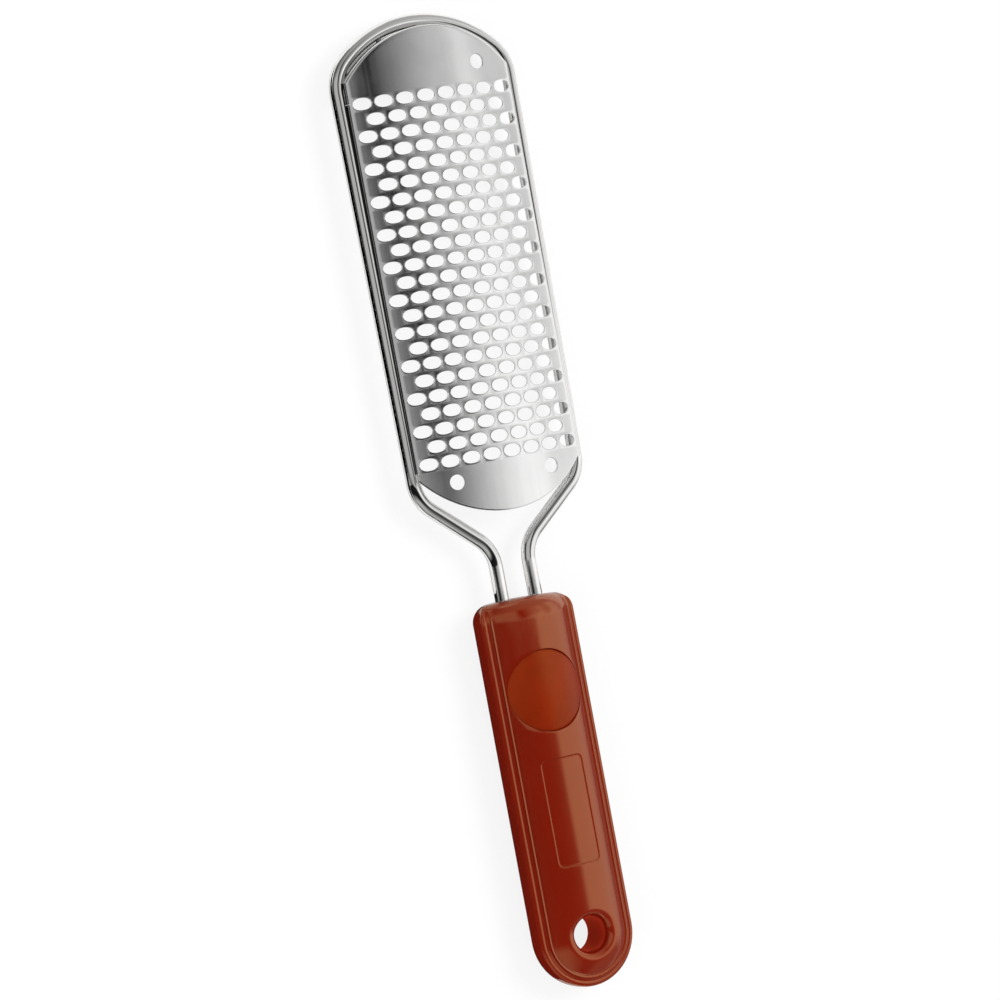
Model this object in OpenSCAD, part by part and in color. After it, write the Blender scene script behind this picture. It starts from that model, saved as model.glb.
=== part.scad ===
// Foot file, lying on its back with the rasp plate up.
// X runs across it, Y runs along it towards the tip, Z is up.
// The origin is on the resting plane, in the middle of the length.

/* [Overall] */
// Length from the tip of the wire arch to the tail of the handle
overall_len = 258; // [250:1:275]
// The handle's share of the overall length
handle_share = 0.3969; // [0.37:0.0001:0.43]
// The straight legs' share of the overall length
leg_share = 0.396; // [0.38:0.001:0.4]
// The rasp plate's share of the overall length, from the tip to the plate's lowest point
plate_share = 0.5109; // [0.49:0.0001:0.52]

/* [Wire frame] */
// Diameter of the round wire
wire_d = 3.8; // [3.2:0.1:4.2]
// Height of the wire's centre above the resting plane
wire_z = 6.8; // [6.4:0.1:7.2]
// Radius of the arch at the tip, to the wire's centre
arch_r = 32; // [30:0.5:36]
// Radius of the corners between the arch and the legs
corner_r = 10.8; // [8:0.2:13]
// Half of the width across the legs at the corners, to the wire's centre
shoulder_half = 25.35; // [24.8:0.05:26]
// Angle by which each leg leans in towards the handle, in degrees
leg_lean = 0.68; // [0:0.02:0.9]
// Radius of the four bends towards the neck
bend_r = 10; // [7:0.5:11]
// Angle of the slanting stretches from the long axis, in degrees
neck_slant = 50.6; // [46:0.2:54]
// Half of the distance between the two legs in the neck
neck_half = 4.95; // [4.9:0.05:5.4]
// Share of the handle's length to which the legs run into it
leg_depth_share = 0.415; // [0.4:0.005:0.45]
// Diameter of the upset head on the end of each leg
leg_head_d = 5.4; // [5:0.1:5.8]
// Thickness of the upset head
leg_head_t = 1.2; // [0.8:0.1:1.6]
// Length of the collar over each joint between two stretches of the wire
collar_len = 0.2; // [0.1:0.05:0.4]
// Height of the collar above the wire
collar_rise = 0.01; // [0.005:0.005:0.02]

/* [Rasp plate] */
// Width of the rasp plate
plate_w = 48; // [46.5:0.5:48.5]
// Thickness of the sheet
plate_t = 0.5; // [0.4:0.05:0.7]
// Radius of the sheet's crown, to its outer face
plate_crown_r = 91; // [80:1:120]
// Height of the plate's crest above the wire's centre
plate_rise = 6.1; // [5.8:0.1:6.6]
// Space between the arch's inner side and the arch skirt
skirt_gap = 0.45; // [0.3:0.05:0.8]
// Depth of the side skirts below the plate's crest
side_skirt_drop = 5; // [4.8:0.1:5.4]
// Depth of the arch skirt below the plate's crest
arch_skirt_drop = 7; // [6.4:0.1:7.4]
// Distance from the plate's lowest point to the side skirts
skirt_inset = 13.3; // [13:0.1:18]
// Length of the slit between a side skirt and the arch skirt
slit_len = 5.8; // [4:0.2:7]
// Radius of the plate's lower edge
lower_edge_r = 31; // [29:0.5:36]
// Diameter of the three locating holes
locator_d = 3.7; // [3:0.1:4]
// Distance of the locating holes from the middle
locator_x = 14; // [12:0.5:15]
// Distance from the tip to the upper locating hole
upper_locator = 15; // [14:0.5:16]
// Distance from the plate's lowest point to the two lower locating holes
lower_locator = 9.4; // [9:0.1:10]

/* [Cutting holes] */
// Number of rows of cutting holes
row_count = 23; // [21:2:23]
// Number of cutting holes in the longer rows
col_count = 8; // [7:1:8]
// Distance from the tip to the field of cutting holes
grid_top = 19.9; // [19.5:0.1:24]
// Distance from the field of cutting holes to the plate's lowest point
grid_bottom = 13; // [13:0.1:16]
// Margin between the field of cutting holes and the plate's sides
grid_side = 0.28; // [0.28:0.02:1]
// Length of a cutting hole across the plate, as a share of the distance between holes
hole_w_share = 0.826; // [0.7:0.002:0.84]
// Width of a cutting hole along the plate, as a share of the distance between rows
hole_h_share = 0.686; // [0.6:0.002:0.72]
// Width of the raised lip round each hole
lip_w = 0.22; // [0.15:0.01:0.28]
// Height of the raised lip above the sheet
lip_h = 0.3; // [0.2:0.05:0.5]

/* [Handle body] */
// Width of the handle
body_w = 27.8; // [27.4:0.2:30]
// Height of the handle's shoulder above the resting plane
shoulder_z = 10.2; // [9.9:0.1:10.6]
// Radius of the rounding along the back
back_round = 7; // [6:0.2:7.4]
// Radius of the shoulder's outer edge
shoulder_round = 1; // [0.6:0.1:1.3]
// Wall at the shoulder, beside the front cover
rim_wall = 2.4; // [2.2:0.1:2.8]
// Width of the seat that the front cover rests on
seat_w = 1.3; // [1:0.1:1.6]
// Depth of the seat below the shoulder
seat_drop = 2; // [1.6:0.1:2.2]
// Floor of the handle's back
floor_t = 2.4; // [2:0.1:2.8]
// Wall at the mouth, where the legs enter
mouth_wall = 3; // [2.4:0.2:3.6]
// Radius of the mouth's corners, seen from the front
mouth_corner_r = 4; // [3:0.2:4.4]
// Radius of the mouth's rolled edge at the back
mouth_back_r = 2.5; // [1.5:0.1:3]
// Clearance round the wire inside the handle
wire_fit = 0.05; // [0.03:0.01:0.1]
// Thickness of the ribs inside the handle
rib_t = 1.6; // [1.2:0.1:2]

/* [Front cover] */
// Gap between the front cover and the body's rim
cover_gap = 0.12; // [0.08:0.02:0.2]
// Height of the front cover's crest above the resting plane
crest_z = 14.7; // [14.4:0.1:15.2]
// Radius of the front cover's crown
cover_crown_r = 17.6; // [16.8:0.2:19]
// Wall of the front cover
cover_wall = 1.8; // [1.6:0.1:2]
// Radius of the front cover's rolled edge at the mouth
mouth_front_r = 3; // [2:0.2:3.4]

/* [Thumb pad] */
// Width of the front cover's margin beside the thumb pad's recess
pad_margin = 0.4; // [0.36:0.02:2]
// Gap round the thumb pad
pad_gap = 0.1; // [0.05:0.01:0.2]
// Share of the handle's length from the mouth to the middle of the thumb pad
pad_share = 0.2354; // [0.22:0.0002:0.245]
// Height of the thumb pad's crest above the resting plane
pad_crest_z = 14.5; // [14:0.1:14.7]
// Radius of the thumb pad's crown
pad_crown_r = 18; // [17.6:0.2:22]
// Height of the recess floor above the resting plane
pad_floor_z = 9.9; // [9.8:0.05:10.1]
// Clearance between the recess floor and the wire legs
pad_clear = 0.1; // [0.05:0.05:0.2]

/* [Label panel] */
// Width of the bare label panel
label_w = 12.3; // [10:0.1:13]
// The bare label panel's share of the handle's length
label_len_share = 0.277; // [0.23:0.001:0.29]
// Share of the handle's length from the mouth to the middle of the label panel
label_share = 0.547; // [0.53:0.001:0.56]
// Depth of the label panel
label_depth = 0.3; // [0.2:0.05:0.5]
// Radius of the label panel's corners
label_corner_r = 1.6; // [1:0.1:3]

/* [Hanging hole] */
// Diameter of the hanging hole
hang_d = 10; // [9:0.2:10.6]
// Wall of the tube round the hanging hole
hang_wall = 2.2; // [1.8:0.1:2.6]
// Radius of the hole's rolled edge
hang_round = 1.6; // [1:0.1:2]
// Height at which the front flare of the hole starts
flare_z = 10.6; // [10.5:0.05:11]

/* [Anchor and screws] */
// Clearance beside the anchor bar in the handle's hollow
anchor_side = 1.2; // [0.8:0.1:2]
// Thickness of the anchor bar
anchor_t = 2; // [1.5:0.1:2.5]
// Height of the anchor bar
anchor_h = 6.6; // [6:0.1:6.8]
// Clearance of the anchor bar in its slot
anchor_fit = 0.1; // [0.05:0.01:0.2]
// Shank diameter of the cover screws
screw_d = 2.8; // [2.5:0.1:3]
// Length of the screw shank under the head
screw_len = 9.4; // [8:0.2:9.8]
// Head diameter of the cover screws
screw_head_d = 4.8; // [4.4:0.1:5]
// Head height of the cover screws
screw_head_h = 1.6; // [1.4:0.1:1.8]
// Depth of the heads below the handle's back
head_sink = 0.2; // [0.1:0.05:0.4]
// Diameter of the screw bosses
boss_d = 5.6; // [5.2:0.1:5.8]
// Clearance round the screws
screw_fit = 0.1; // [0.05:0.01:0.15]
// Share of the handle's length from the mouth to the first screw
first_screw_share = 0.078; // [0.07:0.001:0.086]
// Share of the handle's length from the mouth to the second screw
second_screw_share = 0.732; // [0.71:0.002:0.74]

/* [Welds] */
// Diameter of a weld spot
weld_d = 1.6; // [1.2:0.1:1.8]
// Number of weld spots along each side skirt
weld_count = 5; // [3:1:7]
// Number of weld spots along the arch skirt
arch_weld_count = 3; // [1:2:5]

/* [Hidden] */

$fn = 72;

// Fineness of the wide crowns
crown_fn = 256;

// Overrun of every cut past the face that it leaves through
over = 1;
// Clearance between pieces that touch along a curve
touch = 0.02;

// Places along the length
tip_y = overall_len / 2;
tail_y = -overall_len / 2;
handle_len = overall_len * handle_share;
mouth_y = tail_y + handle_len;

// Wire
wire_r = wire_d / 2;
leg_len = overall_len * leg_share;
leg_depth = handle_len * leg_depth_share;
arch_y = tip_y - wire_r - arch_r;
arch_turn = asin((shoulder_half - corner_r * cos(leg_lean)) / (arch_r - corner_r));
corner_end_y = arch_y + (arch_r - corner_r) * cos(arch_turn) - corner_r * sin(leg_lean);
leg_end_x = shoulder_half - leg_len * sin(leg_lean);
leg_end_y = corner_end_y - leg_len * cos(leg_lean);
slant_x = leg_end_x - bend_r * (cos(leg_lean) - cos(neck_slant));
slant_y = leg_end_y - bend_r * (sin(neck_slant) - sin(leg_lean));
slant_len = (slant_x - bend_r * (1 - cos(neck_slant)) - neck_half) / sin(neck_slant);
neck_y = slant_y - slant_len * cos(neck_slant) - bend_r * sin(neck_slant);
leg_tail_y = mouth_y - leg_depth;

// The stretches of the wire from the arch to one end: kind, length or radius, angle
WIRE_STEPS = [
    ["bend", corner_r, 90 + leg_lean - arch_turn],
    ["run", leg_len, 0],
    ["bend", bend_r, neck_slant - leg_lean],
    ["run", slant_len, 0],
    ["bend", bend_r, -neck_slant],
    ["run", neck_y - leg_tail_y, 0]
];

// Rasp plate
plate_z = wire_z + plate_rise;
plate_reach = overall_len * plate_share;
plate_half = plate_w / 2;
plate_axis_z = plate_z - plate_crown_r;
arch_edge_r = arch_r - wire_r - skirt_gap;
lower_y = tip_y - plate_reach;
corner_y = arch_y + sqrt(pow(arch_edge_r, 2) - pow(plate_half, 2));
skirt_top_y = corner_y - slit_len;
skirt_low_y = lower_y + skirt_inset;
skirt_len = skirt_top_y - skirt_low_y;

// Cutting holes
row_pitch = (plate_reach - grid_top - grid_bottom) / row_count;
col_pitch = (plate_w - 2 * grid_side) / col_count;
grid_y = lower_y + grid_bottom + row_pitch * row_count / 2;
hole_w = col_pitch * hole_w_share;
hole_h = row_pitch * hole_h_share;

// Handle body
body_half = body_w / 2;
end_y = tail_y + body_half;
rim_half = body_half - rim_wall;
seat_half = rim_half - seat_w;
seat_z = shoulder_z - seat_drop;
back_inner_r = back_round - floor_t;
channel_r = wire_r + wire_fit;

// Front cover
cover_half = rim_half - cover_gap;
cover_inner_half = seat_half;
cover_axis_z = crest_z - cover_crown_r;
cover_inner_r = cover_crown_r - cover_wall;
pad_d = 2 * (cover_half - pad_margin);
pad_y = mouth_y - pad_share * handle_len;
pad_boss_z = wire_z + wire_r + pad_clear;
label_y = mouth_y - label_share * handle_len;
label_len = label_len_share * handle_len;

// Hanging hole
hang_r = hang_d / 2;
hang_tube_r = hang_r + hang_wall;
flare_turn = 30;

// Anchor and screws
anchor_y = leg_tail_y + leg_head_t + anchor_t / 2;
anchor_low_z = floor_t + touch;
anchor_w = 2 * (seat_half - anchor_side);
SCREW_Y = [mouth_y - first_screw_share * handle_len, mouth_y - second_screw_share * handle_len];
head_seat_z = screw_head_h + head_sink;
boss_split_z = wire_z;
RIB_SHARES = [0.42, 0.76];
TAIL_RIB_SHARES = [0.56, 0.66];
tail_rib_h = floor_t + floor_t;

// Wire

// One straight stretch from the origin along +Y
module run(length, r) {
    rotate([-90, 0, 0])
        cylinder(h = length, r = r);
}

// The angle at a radius that spans an arc
function turn_of(arc, radius) = arc / (2 * PI * radius) * 360;

// One bend from the origin along +Y that turns right, or left with a negative angle, short of
// both its ends by a quarter of a collar
module bend(radius, angle, r) {
    short = turn_of(collar_len / 4, radius);
    mirror([angle < 0 ? 1 : 0, 0, 0])
        translate([radius, 0, 0])
            rotate([0, 0, 180 - abs(angle) + short])
                rotate_extrude(angle = abs(angle) - 2 * short)
                    translate([radius, 0])
                        circle(r = r);
}

// A straight stretch between two joints, short of both its ends by a quarter of a collar
module joined_run(length, r) {
    translate([0, collar_len / 4, 0])
        run(length - collar_len / 2, r);
}

// The collar over a joint at the origin
module collar(r) {
    translate([0, -collar_len / 2, 0])
        run(collar_len, r + collar_rise);
}

// The stretches one after the other
module wire_from(i, r) {
    step = WIRE_STEPS[i];
    side = step[2] < 0 ? -1 : 1;
    straight = step[0] == "run";
    end_x = straight ? 0 : side * step[1] * (1 - cos(step[2]));
    end_y = straight ? step[1] : step[1] * sin(abs(step[2]));
    collar(r);
    if (straight)
        joined_run(step[1], r);
    else
        bend(step[1], step[2], r);
    if (i < len(WIRE_STEPS) - 1)
        translate([end_x, end_y, 0])
            rotate([0, 0, -step[2]])
                wire_from(i + 1, r);
}

// The arch at the tip, from corner to corner
module wire_arch(r) {
    translate([0, arch_y, wire_z])
        rotate([0, 0, arch_turn])
            translate([0, arch_r, 0])
                rotate([0, 0, -90])
                    bend(arch_r, 2 * arch_turn, r);
}

// The two corners between the arch and the legs
module wire_corners(r) {
    for (side = [0, 1])
        mirror([side, 0, 0])
            translate([0, arch_y, wire_z])
                rotate([0, 0, -arch_turn])
                    translate([0, arch_r, 0])
                        rotate([0, 0, -90])
                            bend(corner_r, WIRE_STEPS[0][2], r);
}

// The two straight legs beside the plate
module wire_legs(r) {
    for (side = [0, 1])
        mirror([side, 0, 0])
            translate([shoulder_half, corner_end_y, wire_z])
                rotate([0, 0, 180 - leg_lean])
                    run(leg_len, r);
}

// The whole bent wire
module wire_shape(r) {
    wire_arch(r);
    for (side = [0, 1])
        mirror([side, 0, 0])
            translate([0, arch_y, wire_z])
                rotate([0, 0, -arch_turn])
                    translate([0, arch_r, 0])
                        rotate([0, 0, -90])
                            wire_from(0, r);
}

// The parts of the two legs inside the handle
module leg_channels(r) {
    for (x = [-neck_half, neck_half])
        translate([x, leg_tail_y - over, wire_z])
            run(leg_depth + 2 * over, r);
}

module wire_frame() {
    color("silver")
        union() {
            wire_shape(wire_r);
            for (x = [-neck_half, neck_half])
                translate([x, leg_tail_y, wire_z])
                    run(leg_head_t, leg_head_d / 2);
        }
}

// Rasp plate

// Outline of the plate: straight sides, the arch at the top, a rounded free edge at the bottom
module plate_outline() {
    middle_y = lower_y + lower_edge_r;
    intersection() {
        translate([-plate_half, lower_y])
            square([plate_w, arch_y + arch_edge_r - lower_y]);
        union() {
            translate([0, arch_y])
                circle(r = arch_edge_r);
            translate([-plate_half, middle_y])
                square([plate_w, arch_y - middle_y]);
            translate([0, middle_y])
                circle(r = lower_edge_r);
        }
    }
}

// Everything inside a drum along Y that has the plate's crown
module plate_drum(r) {
    translate([0, lower_y - over, plate_axis_z])
        run(plate_reach + 2 * over, r, $fn = crown_fn);
}

// One cutting hole's outline, with a margin added all round
module oval(margin) {
    round_r = hole_h / 2;
    reach = hole_w / 2 - round_r;
    for (side = [-1, 1])
        translate([side * reach, 0])
            circle(r = round_r + margin);
    translate([-reach, -round_r - margin])
        square([2 * reach, 2 * (round_r + margin)]);
}

// Puts a shape at every cutting hole, square to the sheet, at its outer face
module at_holes() {
    middle = (row_count - 1) / 2;
    for (row = [0 : row_count - 1]) {
        short = row % 2;
        count = col_count - short;
        for (col = [0 : count - 1]) {
            arc = (col - (count - 1) / 2) * col_pitch;
            translate([0, grid_y + (middle - row) * row_pitch, plate_axis_z])
                rotate([0, turn_of(arc, plate_crown_r), 0])
                    translate([0, 0, plate_crown_r])
                        children();
        }
    }
}

module locator_holes() {
    for (place = [
        [locator_x, tip_y - upper_locator],
        [locator_x, lower_y + lower_locator],
        [-locator_x, lower_y + lower_locator]
    ])
        translate([place[0], place[1], wire_z])
            cylinder(h = plate_rise + over, d = locator_d);
}

module side_skirts() {
    for (side = [0, 1])
        mirror([side, 0, 0])
            translate([plate_half - plate_t, skirt_low_y, plate_z - side_skirt_drop])
                cube([plate_t, skirt_len, side_skirt_drop]);
}

module arch_skirt() {
    intersection() {
        translate([0, arch_y, plate_z - arch_skirt_drop])
            difference() {
                cylinder(h = arch_skirt_drop, r = arch_edge_r);
                translate([0, 0, -over])
                    cylinder(h = arch_skirt_drop + 2 * over, r = arch_edge_r - plate_t);
            }
        translate([-plate_half, corner_y, wire_z - plate_rise])
            cube([plate_w, arch_edge_r, 2 * plate_rise]);
    }
}

module plate_sheet() {
    difference() {
        intersection() {
            plate_drum(plate_crown_r);
            translate([0, 0, wire_z])
                linear_extrude(plate_rise)
                    plate_outline();
        }
        plate_drum(plate_crown_r - plate_t);
    }
}

module plate_skirts() {
    difference() {
        intersection() {
            plate_drum(plate_crown_r);
            union() {
                side_skirts();
                arch_skirt();
            }
        }
        wire_corners(wire_r + touch);
        wire_legs(wire_r + touch);
    }
}

module rasp_plate() {
    color("gainsboro")
        difference() {
            union() {
                plate_sheet();
                plate_skirts();
                at_holes()
                    translate([0, 0, -plate_t / 2])
                        linear_extrude(plate_t / 2 + lip_h)
                            oval(lip_w);
            }
            at_holes()
                translate([0, 0, -plate_t - over])
                    linear_extrude(plate_t + lip_h + 2 * over)
                        oval(0);
            locator_holes();
        }
}

// Weld spots

// Half of the distance between the leg centres at a place along the length
function leg_half(y) = shoulder_half - (corner_end_y - y) * tan(leg_lean);

// Spots in the corner between a side skirt's inner face and the wire
module side_welds() {
    inner_x = plate_half - plate_t;
    for (side = [0, 1])
        mirror([side, 0, 0])
            difference() {
                for (i = [0 : weld_count - 1]) {
                    y = skirt_low_y + skirt_len * (i + 0.5) / weld_count;
                    lift = sqrt(max(0, pow(wire_r, 2) - pow(leg_half(y) - inner_x, 2)));
                    translate([inner_x, y, wire_z + lift])
                        sphere(d = weld_d);
                }
                translate([inner_x, lower_y, 0])
                    cube([plate_w, plate_reach, plate_z]);
            }
}

// Spots that bridge the gap between the arch skirt's outer face and the wire
module arch_welds() {
    middle = (arch_weld_count - 1) / 2;
    difference() {
        for (i = [0 : arch_weld_count - 1])
            translate([0, arch_y, wire_z + weld_d / 2])
                rotate([0, 0, (i - middle) * arch_turn / 2])
                    translate([0, arch_edge_r + skirt_gap / 2, 0])
                        sphere(d = weld_d);
        translate([0, arch_y, 0])
            cylinder(h = plate_z + over, r = arch_edge_r);
    }
}

module weld_spots() {
    color("darkgray")
        difference() {
            union() {
                side_welds();
                arch_welds();
            }
            wire_arch(wire_r + touch / 2);
            wire_legs(wire_r + touch / 2);
        }
}

// Anchor bar across the two legs
module leg_anchor() {
    color("slategray")
        difference() {
            translate([-anchor_w / 2, anchor_y - anchor_t / 2, anchor_low_z])
                cube([anchor_w, anchor_t, anchor_h]);
            leg_channels(wire_r + wire_fit);
        }
}

// Handle body

// Right half of the body's cross section
module body_section() {
    flat_half = body_half - back_round;
    square([flat_half, shoulder_z]);
    intersection() {
        translate([flat_half, back_round])
            circle(r = back_round);
        square([body_half, shoulder_z - shoulder_round]);
    }
    translate([0, back_round])
        square([body_half, shoulder_z - shoulder_round - back_round]);
    translate([0, back_round])
        square([body_half - shoulder_round, shoulder_z - back_round]);
    translate([body_half - shoulder_round, shoulder_z - shoulder_round])
        circle(r = shoulder_round);
}

// Right half of the hollow below the cover's seat
module hollow_section() {
    corner_x = seat_half - back_inner_r;
    translate([0, floor_t])
        square([corner_x, seat_z + over - floor_t]);
    intersection() {
        translate([corner_x, back_round])
            circle(r = back_inner_r);
        translate([corner_x, 0])
            square([back_inner_r, back_round]);
    }
    translate([0, back_round])
        square([seat_half, seat_z + over - back_round]);
}

// Right half of the opening that the front cover drops into
module rim_section() {
    translate([0, seat_z])
        square([rim_half, seat_drop + over]);
}

// A half section along the handle from the mouth end, and round its tail
module along_handle(from_y) {
    for (side = [0, 1])
        mirror([side, 0, 0])
            translate([0, from_y, 0])
                rotate([90, 0, 0])
                    linear_extrude(from_y - end_y)
                        children();
    translate([0, end_y, 0])
        rotate([0, 0, 180])
            rotate_extrude(angle = 180)
                intersection() {
                    children();
                    square([body_w, crest_z + over]);
                }
}

// What the mouth's rounding takes away: its two corners and its back edge
module mouth_cuts() {
    for (side = [0, 1])
        mirror([side, 0, 0])
            translate([body_half - mouth_corner_r, mouth_y - mouth_corner_r, -over])
                linear_extrude(crest_z + 2 * over)
                    difference() {
                        square(mouth_corner_r + over);
                        circle(r = mouth_corner_r);
                    }
    translate([-body_half - over, mouth_y - mouth_back_r, mouth_back_r])
        rotate([90, 0, 90])
            linear_extrude(body_w + 2 * over)
                difference() {
                    translate([0, -mouth_back_r - over])
                        square(mouth_back_r + over);
                    circle(r = mouth_back_r);
                }
}

// A rib across the hollow
module cross_rib(y, top_z) {
    translate([-seat_half - touch, y - rib_t / 2, floor_t - touch])
        cube([2 * (seat_half + touch), rib_t, top_z - floor_t + touch]);
}

module body_ribs() {
    slot_half = anchor_t / 2 + anchor_fit + rib_t / 2;
    for (share = RIB_SHARES)
        cross_rib(mouth_y - share * leg_depth, wire_z);
    for (side = [-1, 1])
        cross_rib(anchor_y + side * slot_half, side > 0 ? wire_z : floor_t + rib_t);
    for (share = TAIL_RIB_SHARES)
        cross_rib(mouth_y - share * handle_len, tail_rib_h);
}

// The hanging hole with its rolled back edge
module hang_bore() {
    translate([0, end_y, -over])
        cylinder(h = crest_z + 2 * over, r = hang_r);
    translate([0, end_y, 0])
        rotate_extrude()
            difference() {
                translate([0, -over])
                    square([hang_r + hang_round, hang_round + over]);
                translate([hang_r + hang_round, hang_round])
                    circle(r = hang_round);
            }
}

// The flared front of the hanging hole, rolled to a slope and then straight
module hang_flare() {
    roll_x = hang_round * (1 - cos(flare_turn));
    roll_z = hang_round * sin(flare_turn);
    rise = crest_z + over - flare_z - roll_z;
    reach = rise * tan(flare_turn);
    translate([0, end_y, flare_z])
        rotate_extrude()
            difference() {
                union() {
                    square([hang_r + roll_x, roll_z]);
                    translate([0, roll_z])
                        polygon([[0, 0], [hang_r + roll_x, 0], [hang_r + roll_x + reach, rise], [0, rise]]);
                }
                translate([hang_r + hang_round, 0])
                    circle(r = hang_round);
            }
}

module screw_holes(d, from_z, to_z) {
    for (y = SCREW_Y)
        translate([0, y, from_z])
            cylinder(h = to_z - from_z, d = d);
}

module back_shell() {
    color([0.47, 0.11, 0.05])
        difference() {
            union() {
                difference() {
                    along_handle(mouth_y)
                        body_section();
                    along_handle(mouth_y - mouth_wall)
                        hollow_section();
                    along_handle(mouth_y + over)
                        rim_section();
                }
                body_ribs();
                screw_holes(boss_d, floor_t - touch, boss_split_z - touch);
                translate([0, end_y, 0])
                    cylinder(h = flare_z - touch, r = hang_tube_r);
            }
            mouth_cuts();
            leg_channels(channel_r);
            for (x = [-neck_half, neck_half])
                translate([x - channel_r, leg_tail_y - over, wire_z])
                    cube([2 * channel_r, leg_depth + 2 * over, shoulder_z]);
            screw_holes(screw_head_d + 2 * screw_fit, -over, head_seat_z);
            screw_holes(screw_d + 2 * screw_fit, -over, boss_split_z + over);
            hang_bore();
        }
}

// Front cover

// Right half of the cover's cross section
module cover_section(half, r) {
    intersection() {
        translate([0, cover_axis_z])
            circle(r = r);
        translate([0, seat_z])
            square([half, crest_z]);
    }
}

// Right half of the cover's hollow
module cover_hollow_section() {
    intersection() {
        translate([0, cover_axis_z])
            circle(r = cover_inner_r);
        translate([0, seat_z - over])
            square([cover_inner_half, crest_z]);
    }
}

// The crown with its rolled edge at the mouth
module cover_drum() {
    length = mouth_y - end_y;
    translate([0, end_y, cover_axis_z])
        rotate([-90, 0, 0])
            rotate_extrude() {
                square([cover_crown_r, length - mouth_front_r]);
                square([cover_crown_r - mouth_front_r, length]);
                translate([cover_crown_r - mouth_front_r, length - mouth_front_r])
                    circle(r = mouth_front_r);
            }
}

module cover_outer() {
    intersection() {
        cover_drum();
        translate([-cover_half, end_y, seat_z])
            cube([2 * cover_half, mouth_y - end_y, crest_z]);
    }
    translate([0, end_y, 0])
        rotate([0, 0, 180])
            rotate_extrude(angle = 180)
                cover_section(cover_half, cover_crown_r);
}

// Solid parts that reach down inside the cover
module cover_bosses() {
    intersection() {
        cover_outer();
        union() {
            translate([0, pad_y, pad_boss_z])
                cylinder(h = crest_z, d = pad_d + cover_wall);
            translate([0, end_y, flare_z])
                cylinder(h = crest_z, r = hang_tube_r);
            screw_holes(boss_d, seat_z, crest_z);
        }
    }
    screw_holes(boss_d, boss_split_z, seat_z + touch);
}

// The label panel, whose floor follows the crown
module label_cut() {
    translate([0, label_y, seat_z])
        difference() {
            linear_extrude(crest_z)
                label_outline();
            translate([0, label_len, cover_axis_z - seat_z])
                rotate([90, 0, 0])
                    cylinder(h = 2 * label_len, r = cover_crown_r - label_depth);
        }
}

module label_outline() {
    long = label_len - 2 * label_corner_r;
    wide = label_w - 2 * label_corner_r;
    square([label_w, long], center = true);
    square([wide, label_len], center = true);
    for (x = [-wide / 2, wide / 2], y = [-long / 2, long / 2])
        translate([x, y])
            circle(r = label_corner_r);
}

module front_cover() {
    color([0.55, 0.14, 0.06])
        difference() {
            union() {
                difference() {
                    cover_outer();
                    along_handle(mouth_y - mouth_wall)
                        cover_hollow_section();
                }
                cover_bosses();
            }
            mouth_cuts();
            leg_channels(channel_r);
            translate([0, pad_y, pad_floor_z])
                cylinder(h = crest_z, d = pad_d);
            label_cut();
            screw_holes(screw_d + screw_fit, boss_split_z - over, head_seat_z + screw_len + screw_fit);
            translate([0, end_y, 0])
                cylinder(h = crest_z + over, r = hang_r);
            hang_flare();
        }
}

// Thumb pad
module thumb_pad() {
    color([0.5, 0.13, 0.07])
        intersection() {
            translate([0, pad_y, pad_floor_z])
                cylinder(h = crest_z, d = pad_d - 2 * pad_gap);
            translate([0, pad_y - pad_d, pad_crest_z - pad_crown_r])
                run(2 * pad_d, pad_crown_r, $fn = crown_fn);
        }
}

// Cover screws, with a cross recess in each head
module cover_screws() {
    slot_w = screw_head_h / 2;
    slot_len = screw_head_d * 2 / 3;
    color("dimgray")
        difference() {
            union() {
                screw_holes(screw_head_d, head_seat_z - screw_head_h, head_seat_z);
                screw_holes(screw_d, head_seat_z - touch, head_seat_z + screw_len);
            }
            for (y = SCREW_Y, turn = [0, 90])
                translate([0, y, head_seat_z - screw_head_h])
                    rotate([0, 0, turn])
                        cube([slot_len, slot_w, screw_head_h], center = true);
        }
}

wire_frame();
rasp_plate();
weld_spots();
leg_anchor();
back_shell();
front_cover();
thumb_pad();
cover_screws();
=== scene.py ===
"""A foot file dressed for its picture: a bent wire, a perforated rasp plate and a moulded handle.

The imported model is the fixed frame, in metres. It lies on its back, plate up, with its tip towards +Y.
Each operator in the sidebar panel builds one piece, or a group of like pieces, from the sizes kept there.
"""

import math

import bmesh
import bpy
import numpy as np
from bpy.props import FloatProperty, FloatVectorProperty, IntProperty, PointerProperty
from mathutils import Matrix, Vector


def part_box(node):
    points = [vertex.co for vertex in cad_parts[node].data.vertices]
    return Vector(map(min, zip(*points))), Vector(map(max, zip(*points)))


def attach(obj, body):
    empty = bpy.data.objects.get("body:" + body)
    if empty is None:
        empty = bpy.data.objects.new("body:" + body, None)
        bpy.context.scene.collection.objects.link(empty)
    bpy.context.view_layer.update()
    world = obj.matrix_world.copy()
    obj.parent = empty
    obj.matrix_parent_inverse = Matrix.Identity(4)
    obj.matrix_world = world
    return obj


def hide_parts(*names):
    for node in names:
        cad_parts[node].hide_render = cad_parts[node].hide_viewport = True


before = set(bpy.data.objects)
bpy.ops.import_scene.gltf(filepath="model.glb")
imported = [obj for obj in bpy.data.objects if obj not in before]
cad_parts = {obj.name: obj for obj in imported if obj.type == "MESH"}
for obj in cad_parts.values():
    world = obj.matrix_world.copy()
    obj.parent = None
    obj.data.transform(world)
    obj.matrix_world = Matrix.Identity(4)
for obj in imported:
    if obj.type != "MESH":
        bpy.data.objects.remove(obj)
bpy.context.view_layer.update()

bl_info = {
    "name": "Foot file",
    "version": (1, 0, 0),
    "blender": (4, 5, 0),
    "location": "View3D > Sidebar > Foot file",
    "description": "Builds the wire, the rasp plate, the handle and the stage of a foot file",
    "category": "Add Mesh",
}

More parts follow.
